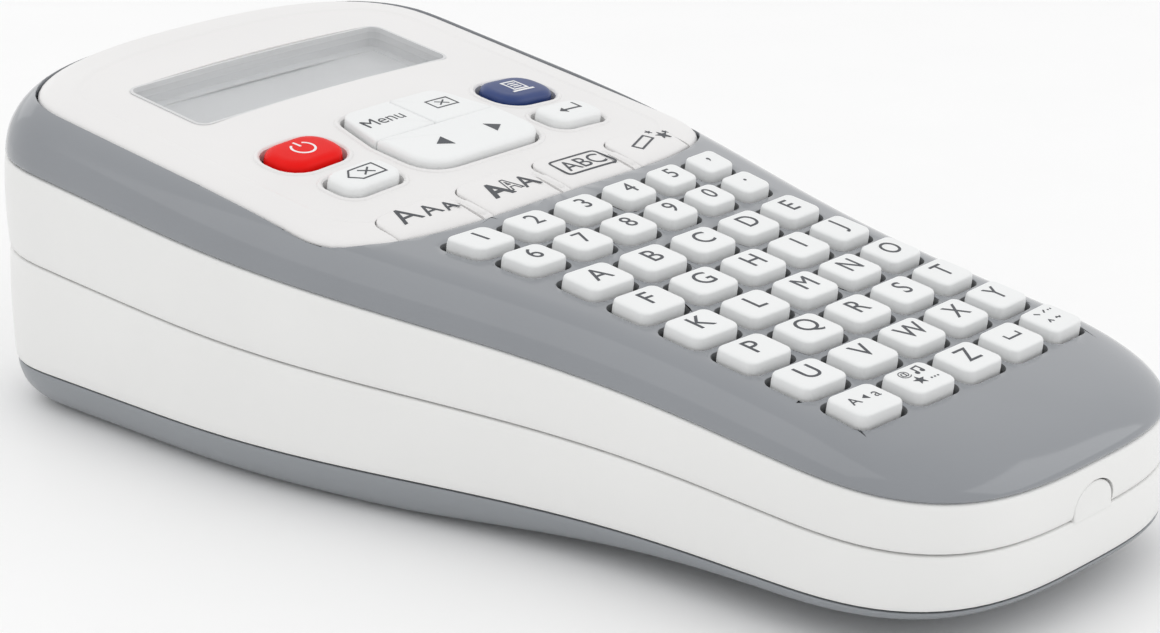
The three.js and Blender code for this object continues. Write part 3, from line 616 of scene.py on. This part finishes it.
def fine(art):
    """The same artwork cut into short edges, so that it follows a curved surface."""
    flat = bmesh.new()
    corners = [flat.verts.new((x, y, 0)) for x, y in art[0]]
    for face in art[1]:
        flat.faces.new([corners[i] for i in face])
    bmesh.ops.triangulate(flat, faces=flat.faces[:])
    for _ in range(5):
        long = [e for e in flat.edges if e.calc_length() > ART_STEP]
        if not long:
            break
        bmesh.ops.subdivide_edges(flat, edges=long, cuts=1)
        bmesh.ops.triangulate(flat, faces=flat.faces[:])
    flat.verts.index_update()
    points = [(v.co.x, v.co.y) for v in flat.verts]
    faces = {}
    for face in flat.faces:
        loop = tuple(v.index for v in face.verts)
        faces[frozenset(loop)] = loop
    flat.free()
    return points, list(faces.values())


def emboss(bm, art, place):
    """Thin raised print: place(x, y, lift) gives the point on the surface."""
    points, faces = fine(art)
    low = [bm.verts.new([c * MM for c in place(x, y, -PRINT_LIFT)]) for x, y in points]
    high = [bm.verts.new([c * MM for c in place(x, y, PRINT_LIFT)]) for x, y in points]
    edges = {}
    for face in faces:
        edges.update(dict.fromkeys(zip(face, face[1:] + face[:1])))
        bm.faces.new([high[i] for i in face])
        bm.faces.new([low[i] for i in reversed(face)])
    for a, b in edges:  # an edge without a twin lies on the outline
        if (b, a) not in edges:
            bm.faces.new((low[a], low[b], high[b], high[a]))


LETTER_HEIGHT, DIGIT_HEIGHT = 5.5, 4.9


def symbol_art(mark):
    """The print of one key, as artwork about the key's centre."""
    if mark == "case":
        return [
            shift(glyph("A", 2.9), -2.3, 0),
            filled([(0.55, -0.7), (0.55, 0.7), (-0.45, 0)]),
            shift(glyph("a", 3.1), 2.3, -0.2),
        ]
    if mark == "symbols":
        notes = [
            stroke([(0.9, 0.6), (0.9, 2.1), (2.3, 2.3), (2.3, 0.8)], 0.28),
            filled(circle(0.6, 0.6, 0.42, steps=12)),
            filled(circle(2.0, 0.8, 0.42, steps=12)),
        ]
        dots = [filled(circle(1.1 + 0.75 * i, -1.7, 0.2, steps=8)) for i in range(3)]
        return [shift(glyph("@", 2.2), -1.7, 1.3), filled(star(-1.0, -1.2, 1.25)), *notes, *dots]
    if mark == "space":
        return [stroke([(-1.7, 0.4), (-1.7, -0.8), (1.7, -0.8), (1.7, 0.4)], 0.38)]
    if mark == "accents":
        return [
            stroke([(-2.1, 1.9), (-1.2, 1.2)], 0.3),
            stroke([(0.2, 1.2), (1.0, 1.9)], 0.3),
            *[filled(circle(1.9 + 0.8 * i, 1.5, 0.2, steps=8)) for i in range(2)],
            stroke([(-2.2, -1.5), (-1.6, -0.8), (-1.0, -1.5)], 0.3),
            stroke([(0.2, -1.2), (0.6, -0.9), (1.1, -1.3), (1.5, -1.0)], 0.3),
        ]
    return [glyph(mark, DIGIT_HEIGHT if mark.isdigit() else LETTER_HEIGHT, -0.001)]


PRINT_V = 0.3  # the print stands this far up from the middle of its key
WEB = [(-1.5, -5.8), (1.5, -5.8), (1.5, -5), (-1.5, -5)]  # section of the silicone web
WEB_OVERLAP = 0.5


def print_place(key):
    return lambda x, y, lift: key.spot(x, y + PRINT_V, key.height(x, y + PRINT_V) + lift)


for name, marks, keys in ROWS:
    caps, print_bm = bmesh.new(), bmesh.new()
    for key, mark in zip(keys, marks):
        key.build(caps)
        for art in symbol_art(mark):
            emboss(print_bm, art, print_place(key))
    for left, right in zip(keys, keys[1:]):
        ends = ((left, left.width / 2 - WEB_OVERLAP), (right, -right.width / 2 + WEB_OVERLAP))
        loft(caps, [[key.spot(dx, dv, h) for dv, h in WEB] for key, dx in ends])
    settle(finish_mesh(f"{name}_caps", caps, KEY), name, name)
    settle(finish_mesh(f"{name}_print", print_bm, INK), name)


# Keyboard bezel
def shoulder(inset, drop, steps=14):
    rings = []
    for k in range(steps + 1):
        t = k / steps * math.pi / 2
        inwards, up = 1 - math.cos(t), math.sin(t)
        side, front_in, rear_in = (inset + s * inwards for s in SHOULDER)
        ring = case_outline(side, front_in, rear_in)
        rings.append(
            [(x, y, lerp(band_z(y) - drop, surface_z(x, y, BEZEL_H - drop), up)) for x, y in ring]
        )
    return rings


def field(ring, h, factors):
    cy = (max(p[1] for p in ring) + min(p[1] for p in ring)) / 2
    rings = []
    for f in factors:
        flat = [(p[0] * f, cy + (p[1] - cy) * f) for p in ring]
        rings.append([(x, y, surface_z(x, y, h)) for x, y in flat])
    return rings


FIELD_STEPS = [0.94, 0.88, 0.8, 0.7, 0.6, 0.5, 0.4, 0.3, 0.2, 0.1]
outside = shoulder(0.15, 0)
outside += field(outside[-1], BEZEL_H, FIELD_STEPS)
inside = shoulder(WALL, TOP_THICK, 8)
inside += field(inside[-1], BEZEL_H - TOP_THICK, FIELD_STEPS[1::3])
edge = [[(x, y, z + 0.22) for x, y, z in outside[0]]]
under = [[(x * 0.996, y * 0.998, z - 0.02) for x, y, z in outside[0]]]
bm = bmesh.new()
loft(bm, list(reversed(inside)) + under + edge + outside[1:])
bezel = finish_mesh("top_bezel", bm, GREY, 30)
hole = bmesh.new()
loft(hole, [[(x, y, surface_z(x, y, h)) for x, y in panel_outline(-0.3)] for h in PANEL_THROUGH])
cut(bezel, finish_mesh("cutter", hole, None), 30)
holes = bmesh.new()
for *_, keys in ROWS:
    for key in keys:
        key.opening(holes, KEY_GAP)
# The new walls of the key openings take the darker grey, painted shade for the gaps.
for face in holes.faces:
    face.material_index = 1
bezel.data.materials.append(SHADE)
cut(bezel, finish_mesh("cutter", holes, None), 30, OPENING_BEVEL)
settle(bezel, "housing", "keyboard_bezel")

# Display panel: rounded border, a fine line, then the field
profile = [(0.7, PANEL_BOTTOM), (0.1, -1.45), (0, -1.1), (0.05, -0.75), (0.2, -0.42), (0.5, -0.14)]
profile += [(1.0, 0.05), (1.7, 0.16), (2.8, 0.27), (4.2, 0.38), (5.4, 0.46), (6.1, 0.5)]
profile += [(6.5, 0.46), (6.75, 0.36), (7.0, 0.33), (8.0, 0.34), (10, FIELD_H)]
rings = [[(x, y, surface_z(x, y, h)) for x, y in panel_outline(s)] for s, h in profile]
bm = bmesh.new()
bottom = field(rings[0], PANEL_BOTTOM, [0.3, 0.7])
loft(bm, bottom + rings + field(rings[-1], FIELD_H, [0.93, 0.85, 0.7, 0.55, 0.4, 0.25, 0.1]))
panel = finish_mesh("face_panel", bm, PANEL, 30)

LARGE = {"width": 13.6, "length": 10.2, "corner": 4.2, "edge": 1.1, "dome": 0.25, "top": 1.5}
SMALL = {"width": 12.2, "length": 7.6, "corner": 2.4, "edge": 0.8, "dome": 0.15, "top": 2.1}
FUNCTION = {
    "power_key": (Key(-26.4, 66.8, **LARGE), RED),
    "print_key": (Key(26.4, 66.8, **LARGE), BLUE),
    "backspace_key": (Key(-26, 52.7, **SMALL), KEY),
    "enter_key": (Key(25.4, 53, **SMALL), KEY),
}
NAV_HALF, NAV_V0, NAV_SPLIT, NAV_V1, NAV_TAPER = 15.2, 47.2, 61.4, 74.0, 3
NAV_TOP, NAV_DOME, NAV_EDGE = 1.75, 0.2, 0.45
NAV_GAP, NAV_SEAM = 0.6, 0.06
ROCKER_TOP, ROCKER_DOME, ROCKER_EDGE, ROCKER_V = 2.05, 0.35, 0.9, 53.7


def soften(points, radius, arc=7):
    """Rounds every corner of a closed polygon."""
    out = []
    n = len(points)
    for i in range(n):
        p, q, r = (Vector(points[(i + k) % n]) for k in (-1, 0, 1))
        a, b = (p - q).normalized(), (r - q).normalized()
        rad = radius[i] if isinstance(radius, (list, tuple)) else radius
        angle = a.angle(b)
        reach = min(rad / math.tan(angle / 2), (p - q).length * 0.49, (r - q).length * 0.49)
        start, end = q + a * reach, q + b * reach
        for k in range(arc + 1):
            t = k / arc
            out.append(tuple(start * (1 - t) ** 2 + q * 2 * t * (1 - t) + end * t * t))
    return out


def offset(points, amount):
    """Moves a closed anticlockwise outline outwards."""
    out, n = [], len(points)
    for i in range(n):
        p, q, r = (Vector(points[(i + k) % n]) for k in (-1, 0, 1))
        d1, d2 = q - p, r - q
        d1 = d1.normalized() if d1.length > 1e-6 else d2.normalized()
        d2 = d2.normalized() if d2.length > 1e-6 else d1
        along = (d1 + d2).normalized()
        out.append((q.x + along.y * amount, q.y - along.x * amount))
    return out


def nav_outline(grow):
    points = [
        (-NAV_HALF, NAV_V0), (NAV_HALF, NAV_V0), (NAV_HALF, NAV_SPLIT),
        (NAV_HALF - NAV_TAPER, NAV_V1), (NAV_TAPER - NAV_HALF, NAV_V1), (-NAV_HALF, NAV_SPLIT),
    ]
    return offset(soften(points, [7, 7, 5, 4, 4, 5]), grow)


def key_outline(key, grow):
    points = rounded(key.width + 2 * grow, key.length + 2 * grow, key.corner + grow)
    return [(key.x + dx, key.v + dv) for dx, dv in points]


def panel_front(x):
    reach = (1 - (abs(x) / PANEL_HALF) ** CORNER_POWER) ** (1 / CORNER_POWER)
    y = lerp(PANEL_FRONT_CAP, PANEL_FRONT, reach)
    return (y - KEY_Y0) / math.cos(TILT)


WINDOW_X, WINDOW_V = -1.0, 96.5
# Width, length and corner radius
WINDOW_HOLE, FRAME_RIM, PANE_CORNER = (61.9, 20.6, 2.6), (61.8, 20.5, 2.5), 2.4
STYLE_PITCH, STYLE_RIB, STYLE_BACK, STYLE_TOP = 18.75, 2.4, 41.0, 0.8
STYLE_CORNER, STYLE_FRONT, STYLE_BOTTOM, STYLE_MID_V = 3.2, 0.35, -4.9, 37.5
STYLE_ROLL, STYLE_FALL = 4.5, 1.3  # the front edge rolls over: reach and drop
STYLE_NAMES = ["size", "style", "frame", "symbol"]


def style_span(index):
    return (index - 2) * STYLE_PITCH + STYLE_RIB / 2, (index - 1) * STYLE_PITCH - STYLE_RIB / 2


def style_outline(index, side=0.0, rear=0.0, front=None):
    """A style key from above: along the panel's front edge, or straight across at front."""
    x0, x1 = style_span(index)
    x0, x1 = x0 - side, x1 + side
    back = STYLE_BACK + rear - STYLE_CORNER
    points = []
    for k in range(9):
        x = lerp(x0, x1, k / 8)
        points.append((x, panel_front(x) + STYLE_FRONT if front is None else front))
    for cx, start in ((x1 - STYLE_CORNER, 0), (x0 + STYLE_CORNER, 90)):
        points += circle(cx, back, STYLE_CORNER, start, start + 90, 8)
    return points


window = [(x + WINDOW_X, v + WINDOW_V) for x, v in rounded(*WINDOW_HOLE, 8)]
cutter = bmesh.new()
outlines = [window, nav_outline(0.0)] + [key_outline(key, 0.8) for key, _ in FUNCTION.values()]
for points in outlines:
    loft(cutter, [[plane(x, v, h) for x, v in points] for h in THROUGH])
cut(panel, finish_mesh("cutter", cutter, None), 30)
for index in range(len(STYLE_NAMES)):
    cutter = bmesh.new()
    points = style_outline(index, 0.3, 0.1, 22)
    loft(cutter, [[plane(x, v, h) for x, v in points] for h in THROUGH])
    cut(panel, finish_mesh("cutter", cutter, None), 30)
settle(panel, "housing", "display_panel")


def ridge(bm, points, width, low, high):
    """A soft raised ring following an outline on the panel."""
    slope = high * 0.6 + low * 0.4
    profile = [(0, low), (0.12, slope), (0.35, high), (0.65, high), (0.88, slope), (1, low)]
    rings = []
    for t, h in profile:
        ring = offset(points, width * t)
        rings.append([plane(x, v, h - CROWN * x * x) for x, v in ring])
    loft(bm, rings, ends=False)


RIB_WIDTH, RIB_STEPS = 1.5, 8
RIB_ARCH = [0, 0.3, 0.42, 0.46, 0.42, 0.3, 0]


def style_rib(bm, x):
    """A soft rib between two style keys, sloping down at its front end."""
    front = panel_front(x) + 0.6
    stack = []
    for j in range(RIB_STEPS + 1):
        v = lerp(front, STYLE_BACK - 2.5, j / RIB_STEPS)
        swell = math.sin(math.pi * min(j + 0.35, RIB_STEPS - j + 0.35, 2) / 4)
        drop = -0.9 * max(1 - j / 1.5, 0) ** 2
        section = []
        for i, lift in enumerate(RIB_ARCH):
            h = FIELD_H - 0.1 + drop + lift * swell - CROWN * x * x
            section.append(plane(x + (i / 6 - 0.5) * RIB_WIDTH * swell, v, h))
        stack.append(section)
    loft(bm, stack)


rims = bmesh.new()
for key, _ in FUNCTION.values():
    ridge(rims, key_outline(key, 0.85), 1.0, FIELD_H - 0.12, FIELD_H + 0.32)
ridge(rims, nav_outline(0.05), 1.1, FIELD_H - 0.12, FIELD_H + 0.34)
for k in (-1, 0, 1):
    style_rib(rims, k * STYLE_PITCH)
settle(finish_mesh("recess_rims", rims, PANEL, 60), "housing")

for name, (key, material) in FUNCTION.items():
    bm = bmesh.new()
    key.build(bm)
    settle(finish_mesh(f"{name}_cap", bm, material), name, name)


def pad(name, body, node, points, centre, top, edge, dome, shrinks):
    """A key of any outline: upright side, rounded edge, slightly domed top."""
    cx, cv = centre

    def ring(inset, h, shrink=1.0):
        spots = []
        for x, v in offset(points, -inset):
            spots.append((cx + (x - cx) * shrink, cv + (v - cv) * shrink))
        return [plane(x, v, h - CROWN * x * x) for x, v in spots]

    rings = [ring(0, KEY_BOTTOM), ring(0, top - edge - PAD_DRAFT_FROM)]
    for k in range(EDGE_STEPS + 1):
        a = math.pi / 2 * k / EDGE_STEPS
        rings.append(ring(edge * (1 - math.cos(a)), top - edge * (1 - math.sin(a))))
    rings += [ring(edge, top + dome * (1 - f * f), f) for f in shrinks]
    bm = bmesh.new()
    loft(bm, rings)
    settle(finish_mesh(name, bm, KEY), body, node)


def style_drop(x, v):
    """How far a style key's top falls towards the panel's front edge."""
    run = min(max((v - panel_front(x) - STYLE_FRONT) / STYLE_ROLL, 0), 1)
    return -STYLE_FALL * (1 - math.sqrt(1 - (1 - run) ** 2))


def style_cap(index, name):
    points = style_outline(index)
    cx = sum(style_span(index)) / 2

    def ring(inset, drop, shrink=1.0):
        spots = []
        for x, v in offset(points, -inset):
            x, v = cx + (x - cx) * shrink, STYLE_MID_V + (v - STYLE_MID_V) * shrink
            h = STYLE_BOTTOM if drop is None else STYLE_TOP + style_drop(x, v) - drop
            spots.append(plane(x, v, h - CROWN * x * x))
        return spots

    stack = [ring(0, None), ring(0, 0.28), ring(0.08, 0.1), ring(0.28, 0)]
    stack += [
        ring(0.28, 0, f) for f in (0.97, 0.94, 0.9, 0.85, 0.78, 0.7, 0.6, 0.5, 0.38, 0.25, 0.12)
    ]
    bm = bmesh.new()
    loft(bm, stack)
    settle(finish_mesh(f"{name}_key_cap", bm, PANEL), f"{name}_key", f"{name}_key")


for index, name in enumerate(STYLE_NAMES):
    style_cap(index, name)

right_points = [
    (0.1, NAV_SPLIT + NAV_SEAM), (NAV_HALF - NAV_GAP, NAV_SPLIT + NAV_SEAM),
    (NAV_HALF - NAV_TAPER - NAV_GAP, NAV_V1 - 0.7), (0.1, NAV_V1 - 0.7),
]
left_points = [(-x, v) for x, v in reversed(right_points)]
for node, corners, radii in (
    ("escape_key", right_points, [0.3, 0.5, 3.4, 0.3]),
    ("menu_key", left_points, [0.3, 3.4, 0.5, 0.3]),
):
    points = soften(corners, radii)
    middle = [sum(p[k] for p in points) / len(points) for k in (0, 1)]
    pad(
        f"{node}_cap", node, node, points, middle,
        NAV_TOP, NAV_EDGE, NAV_DOME, (0.85, 0.65, 0.4, 0.15),
    )
rocker_corners = [
    (NAV_GAP - NAV_HALF, NAV_V0 + NAV_GAP), (NAV_HALF - NAV_GAP, NAV_V0 + NAV_GAP),
    (NAV_HALF - NAV_GAP, NAV_SPLIT - NAV_SEAM), (NAV_GAP - NAV_HALF, NAV_SPLIT - NAV_SEAM),
]
pad(
    "arrow_rocker_cap", "rocker", "arrow_rocker", soften(rocker_corners, [6.5, 6.5, 0.6, 0.6], 8),
    (0.0, ROCKER_V), ROCKER_TOP, ROCKER_EDGE, ROCKER_DOME, (0.9, 0.75, 0.6, 0.4, 0.2),
)


# Print on the panel keys
def icon(name, body, arts, x0, v0, height, material=INK):
    """Print about (x0, v0) on a panel key whose top is height(x, v)."""

    def place(dx, dv, lift):
        x, v = x0 + dx, v0 + dv
        return plane(x, v, height(x, v) + lift - CROWN * x**2)

    bm = bmesh.new()
    for art in arts:
        emboss(bm, art, place)
    settle(finish_mesh(name, bm, material), body)


def on(node):
    key = FUNCTION[node][0]
    return lambda x, v: key.height(x - key.x, v - key.v)


def style_top(x, v):
    return STYLE_TOP + style_drop(x, v) + 0.01


# Middle and half size of the menu key, and half size of the rocker
MENU_X, MENU_V, MENU_HALF_X, MENU_HALF_V = 6.9, 67.4, 6.6, 5.6
ROCKER_HALF_X, ROCKER_HALF_V = 14.8, 6.6


def menu_top(x, v):
    f = min(max(abs(abs(x) - MENU_X) / MENU_HALF_X, abs(v - MENU_V) / MENU_HALF_V), 1)
    return NAV_TOP + NAV_DOME * (1 - f * f)


def rocker_top(x, v):
    f = min(max(abs(x) / ROCKER_HALF_X, abs(v - ROCKER_V) / ROCKER_HALF_V), 1)
    return ROCKER_TOP + ROCKER_DOME * (1 - f * f)


power = [stroke(circle(0, 0, 2.1, 125, 415, 26), 0.42), stroke([(0, 0.6), (0, 2.6)], 0.42)]
icon("power_icon", "power_key", power, -26.4, 67, on("power_key"), INK_WHITE)
sheet = [
    stroke([(-1.7, 2.0), (1.7, 2.0), (1.7, -1.4), (-1.7, -1.4)], 0.4, True),
    *[stroke([(-1.0, y), (1.0, y)], 0.36) for y in (1.1, 0.3, -0.5)],
    stroke([(-2.7, -2.1), (2.7, -2.1)], 0.5),
]
icon("print_icon", "print_key", sheet, 26.4, 67, on("print_key"), INK_WHITE)
tag = [(-3.6, 0), (-1.9, 1.9), (3.4, 1.9), (3.4, -1.9), (-1.9, -1.9)]
cross = [stroke([(-0.7, -1.0), (1.7, 1.0)], 0.34), stroke([(-0.7, 1.0), (1.7, -1.0)], 0.34)]
erase = [stroke(tag, 0.34, True)] + cross
icon("backspace_icon", "backspace_key", erase, -26, 52.7, on("backspace_key"))
arrow = [
    stroke([(2.6, 1.8), (2.6, -0.5), (-1.8, -0.5)], 0.42),
    filled([(-2.9, -0.5), (-1.5, -1.5), (-1.5, 0.5)]),
]
icon("enter_icon", "enter_key", arrow, 25.6, 53.2, on("enter_key"))
icon("menu_word", "menu_key", [glyph("Menu", 4.2, -0.008)], -7.2, 67.2, menu_top)
box_mark = [
    stroke([(-2.6, 1.6), (2.6, 1.6), (2.6, -1.6), (-2.6, -1.6)], 0.28, True),
    stroke([(-1.1, -0.8), (1.1, 0.8)], 0.28), stroke([(-1.1, 0.8), (1.1, -0.8)], 0.28),
]
icon("escape_icon", "escape_key", box_mark, 7.4, 67.2, menu_top)
arrows = []
for side in (-1, 1):
    arrows.append(filled([(8.0 * side, 0), (5.3 * side, 1.8 * side), (5.3 * side, -1.8 * side)]))
icon("arrow_marks", "rocker", arrows, 0, 53.4, rocker_top)

sizes = [
    shift(glyph("A", size, 0.0), x, y)
    for size, x, y in ((7.0, -4.0, 1.3), (5.3, 0.7, 0.3), (4.2, 4.4, -0.5))
]
icon("size_icon", "size_key", sizes, -26.6, 37.0, style_top)
hollow = [(-1.55, -2.0), (-0.35, 2.0), (0.35, 2.0), (1.55, -2.0)]
hollow += [(0.85, -2.0), (0.5, -0.8), (-0.5, -0.8), (-0.85, -2.0)]
styles = [
    shift(glyph("A", 6.8, 0.022), -3.5, -0.3),
    stroke(hollow, 0.22, True), stroke([(-0.3, 0.0), (0, 1.1), (0.3, 0.0)], 0.2, True),
    shift(glyph("A", 6.0, -0.002), 3.6, -0.6),
]
icon("style_icon", "style_key", styles, -8.0, 36.2, style_top)
banner = soften([(-6.2, -2.8), (6.2, -2.8), (5.8, 2.8), (-5.8, 2.8)], 1.0, 4)
framed = [stroke(banner, 0.42, True), glyph("ABC", 5.2)]
icon("frame_icon", "frame_key", framed, 10.2, 35.9, style_top)
LEAN = math.radians(25)
handle = [
    (x * math.cos(LEAN) - y * math.sin(LEAN), x * math.sin(LEAN) + y * math.cos(LEAN))
    for x, y in ((-3.5, -0.95), (3.2, -0.95), (3.2, 0.95), (-3.5, 0.95))
]
wand = [
    stroke(handle, 0.4, True),
    filled(star(6.3, 0.8, 1.6)), filled(star(4.8, 3.0, 0.8)), filled(star(8.0, 1.8, 0.7)),
]
icon("symbol_icon", "symbol_key", wand, 27.7, 37.1, style_top)

# Display: a shallow frame, the clear window and the LCD under it
well = bmesh.new()
frame_points = rounded(*FRAME_RIM, 8)
layers = [(0.0, 0.1), (0.0, -4.2), (-2.2, -4.2), (-2.2, -3.9), (-0.7, -3.7), (-0.55, 0.1)]
loft(
    well,
    [
        [plane(x + WINDOW_X, v + WINDOW_V, h - CROWN * x * x * 0.6) for x, v in offset(frame_points, s)]
        for s, h in layers
    ],
    ends=False,
)
settle(finish_mesh("window_frame", well, LCD), "housing")
pane = bmesh.new()
rings = []
for s, h in ((0.15, -2.3), (0, -2.1), (0, -1.15), (0.2, -1.0)):
    points = rounded(61.2 - 2 * s, 19.9 - 2 * s, PANE_CORNER, 8)
    rings.append([plane(x + WINDOW_X, v + WINDOW_V, h - CROWN * x * x * 0.4) for x, v in points])
loft(pane, rings)
settle(finish_mesh("window_pane", pane, WINDOW), "housing", "display_window")

# Cutter lever: a ribbed thumb pad on a curved arm
PAD_Y0, PAD_LENGTH, PAD_MID_Y, RIB_HALF = 53.2, 26.6, 66.5, 9.5
lever = bmesh.new()
arm = soften(
    [(50.6, 50), (51.4, 54), (51.4, 78), (44.4, 92), (41, 92), (45.6, 76), (46.2, 50), (48.2, 47.6)],
    [2, 1, 4, 1, 1, 4, 2, 2.4], 6,
)
layers = ((0.3, 28.7), (0, 29), (0, 32.2), (0.3, 32.5))
loft(lever, [[(x, y, z) for x, y in offset(arm, -inset)] for inset, z in layers])
face = []
for i in range(91):
    y = PAD_Y0 + PAD_LENGTH * i / 90
    swell = max(math.sin(math.pi * (y - PAD_Y0) / PAD_LENGTH), 0) ** 0.5
    ribs = 0.16 * math.cos((y - PAD_MID_Y) * 2.4) * (abs(y - PAD_MID_Y) < RIB_HALF)
    face.append((52.35 + 0.55 * swell + ribs, y))
pad_outline = face + [(51.0, PAD_Y0 + PAD_LENGTH), (51.0, PAD_Y0)]
rings = []
for inset, z in ((0.25, 28.8), (0, 29.2), (0, 37.9), (0.25, 38.4)):
    rings.append([(x - (inset if x > 51.5 else 0), y, z) for x, y in pad_outline])
loft(lever, rings)
settle(finish_mesh("side_lever", lever, GREY), "cutter", "cutter_lever")

# Inside: cells get their real shapes, the CAD pieces kept as they are get their finish
SIDES = 40


def turned(name, material, axis_at, profile):
    """A turned piece: profile of (radius, distance) pairs along the axis given by axis_at."""
    bm = bmesh.new()
    rings = []
    for r, d in profile:
        angles = [2 * math.pi * i / SIDES for i in range(SIDES)]
        rings.append([axis_at(r * math.cos(a), r * math.sin(a), d) for a in angles])
    loft(bm, rings)
    return finish_mesh(name, bm, material)


CELLS, CELL_PITCH, CELL_Y0, CELL_Z = 6, 10.8, -80.4, 12.1
# Radius and distance along the cell
JACKET_PROFILE = [(3.6, 0), (4.9, 0.05), (5.15, 0.35), (5.2, 0.9)]
JACKET_PROFILE += [(5.2, 43), (5.1, 43.6), (4.8, 43.9), (3.9, 44)]
NIB_PROFILE = [(3.7, 43.9), (3.4, 44.15), (1.9, 44.2), (1.75, 44.5), (1.75, 45.4), (1.5, 45.6)]


def cell_axis(x0):
    return lambda a, b, d: (x0 + a, CELL_Y0 + d, CELL_Z + b)


for i in range(CELLS):
    axis = cell_axis((i - (CELLS - 1) / 2) * CELL_PITCH)
    jacket = turned(f"cell_{i + 1}_jacket", JACKET, axis, JACKET_PROFILE)
    settle(jacket, "housing", f"battery_{i + 1}")
    settle(turned(f"cell_{i + 1}_cap", STEEL, axis, NIB_PROFILE), "housing")

INSIDE = {
    # The keypad mat's dark grey is partly painted shade for the key gaps.
    LCD: ["lcd_module"], SILICONE_DARKENED: ["keypad_mat"], BOARD: ["main_board"],
    DARK: ["chassis", "print_head", "blade_carrier"],
    STEEL: [
        "heat_sink", "motor", "roller_holder", "lever_pin", "lever_spring", "cutter_blade",
        "platen_shaft", "battery_contacts_front", "battery_contacts_rear",
        *[f"case_screw_{i}" for i in range(1, 5)],
    ],
    RUBBER: ["platen_roller"], GEARS: ["idler_gear", "motor_pinion", "ribbon_spindle"],
    CASSETTE: ["tape_cassette"], TAPE: ["tape_reel", "tape_strip"],
}
for material, nodes in INSIDE.items():
    for node in nodes:
        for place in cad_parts[node].material_slots:
            place.material = material

# Floor, light and camera
floor_bm = bmesh.new()
bmesh.ops.create_grid(floor_bm, x_segments=40, y_segments=40, size=3.0)
FLOOR = shader("floor_white", (0.93, 0.93, 0.93), 0.6, 0.004)
floor = finish_mesh("floor", floor_bm, FLOOR)

scene = bpy.context.scene
scene.view_settings.view_transform = "Standard"
world = bpy.data.worlds.new("studio")
scene.world = world
world.use_nodes = True
world.node_tree.nodes["Background"].inputs["Color"].default_value = (1, 1, 1, 1)
world.node_tree.nodes["Background"].inputs["Strength"].default_value = 0.93


def softbox(name, place, aim, width, height, watts):
    light = bpy.data.lights.new(name, "AREA")
    light.shape, light.size, light.size_y = "RECTANGLE", width, height
    light.energy = watts
    holder = bpy.data.objects.new(name, light)
    holder.location = place
    holder.rotation_euler = (Vector(aim) - Vector(place)).to_track_quat("-Z", "Y").to_euler()
    scene.collection.objects.link(holder)


softbox("key_light", (-0.55, 0.25, 0.9), (0, 0, 0.02), 0.9, 0.9, 1.0)
softbox("fill_light", (0.5, -0.6, 0.5), (0, 0, 0.03), 0.8, 0.6, 1.0)
softbox("rear_light", (0.2, 0.9, 0.45), (0, 0.05, 0.04), 0.6, 0.4, 0.3)

AZIMUTH, ELEVATION, DISTANCE = math.radians(-48.1595), math.radians(19.5152), 0.53317
TARGET = Vector((-0.01399, -0.01085, 0.030))
SENSOR, LENS = 36, 100.65
back = Vector(
    (
        math.sin(AZIMUTH) * math.cos(ELEVATION),
        -math.cos(AZIMUTH) * math.cos(ELEVATION),
        math.sin(ELEVATION),
    )
)
camera = bpy.data.objects.new("camera", bpy.data.cameras.new("camera"))
camera.location = TARGET + back * DISTANCE
camera.rotation_euler = (-back).to_track_quat("-Z", "Y").to_euler()
camera.data.sensor_width, camera.data.lens = SENSOR, LENS
camera.data.clip_start = 0.01
scene.collection.objects.link(camera)
scene.camera = camera
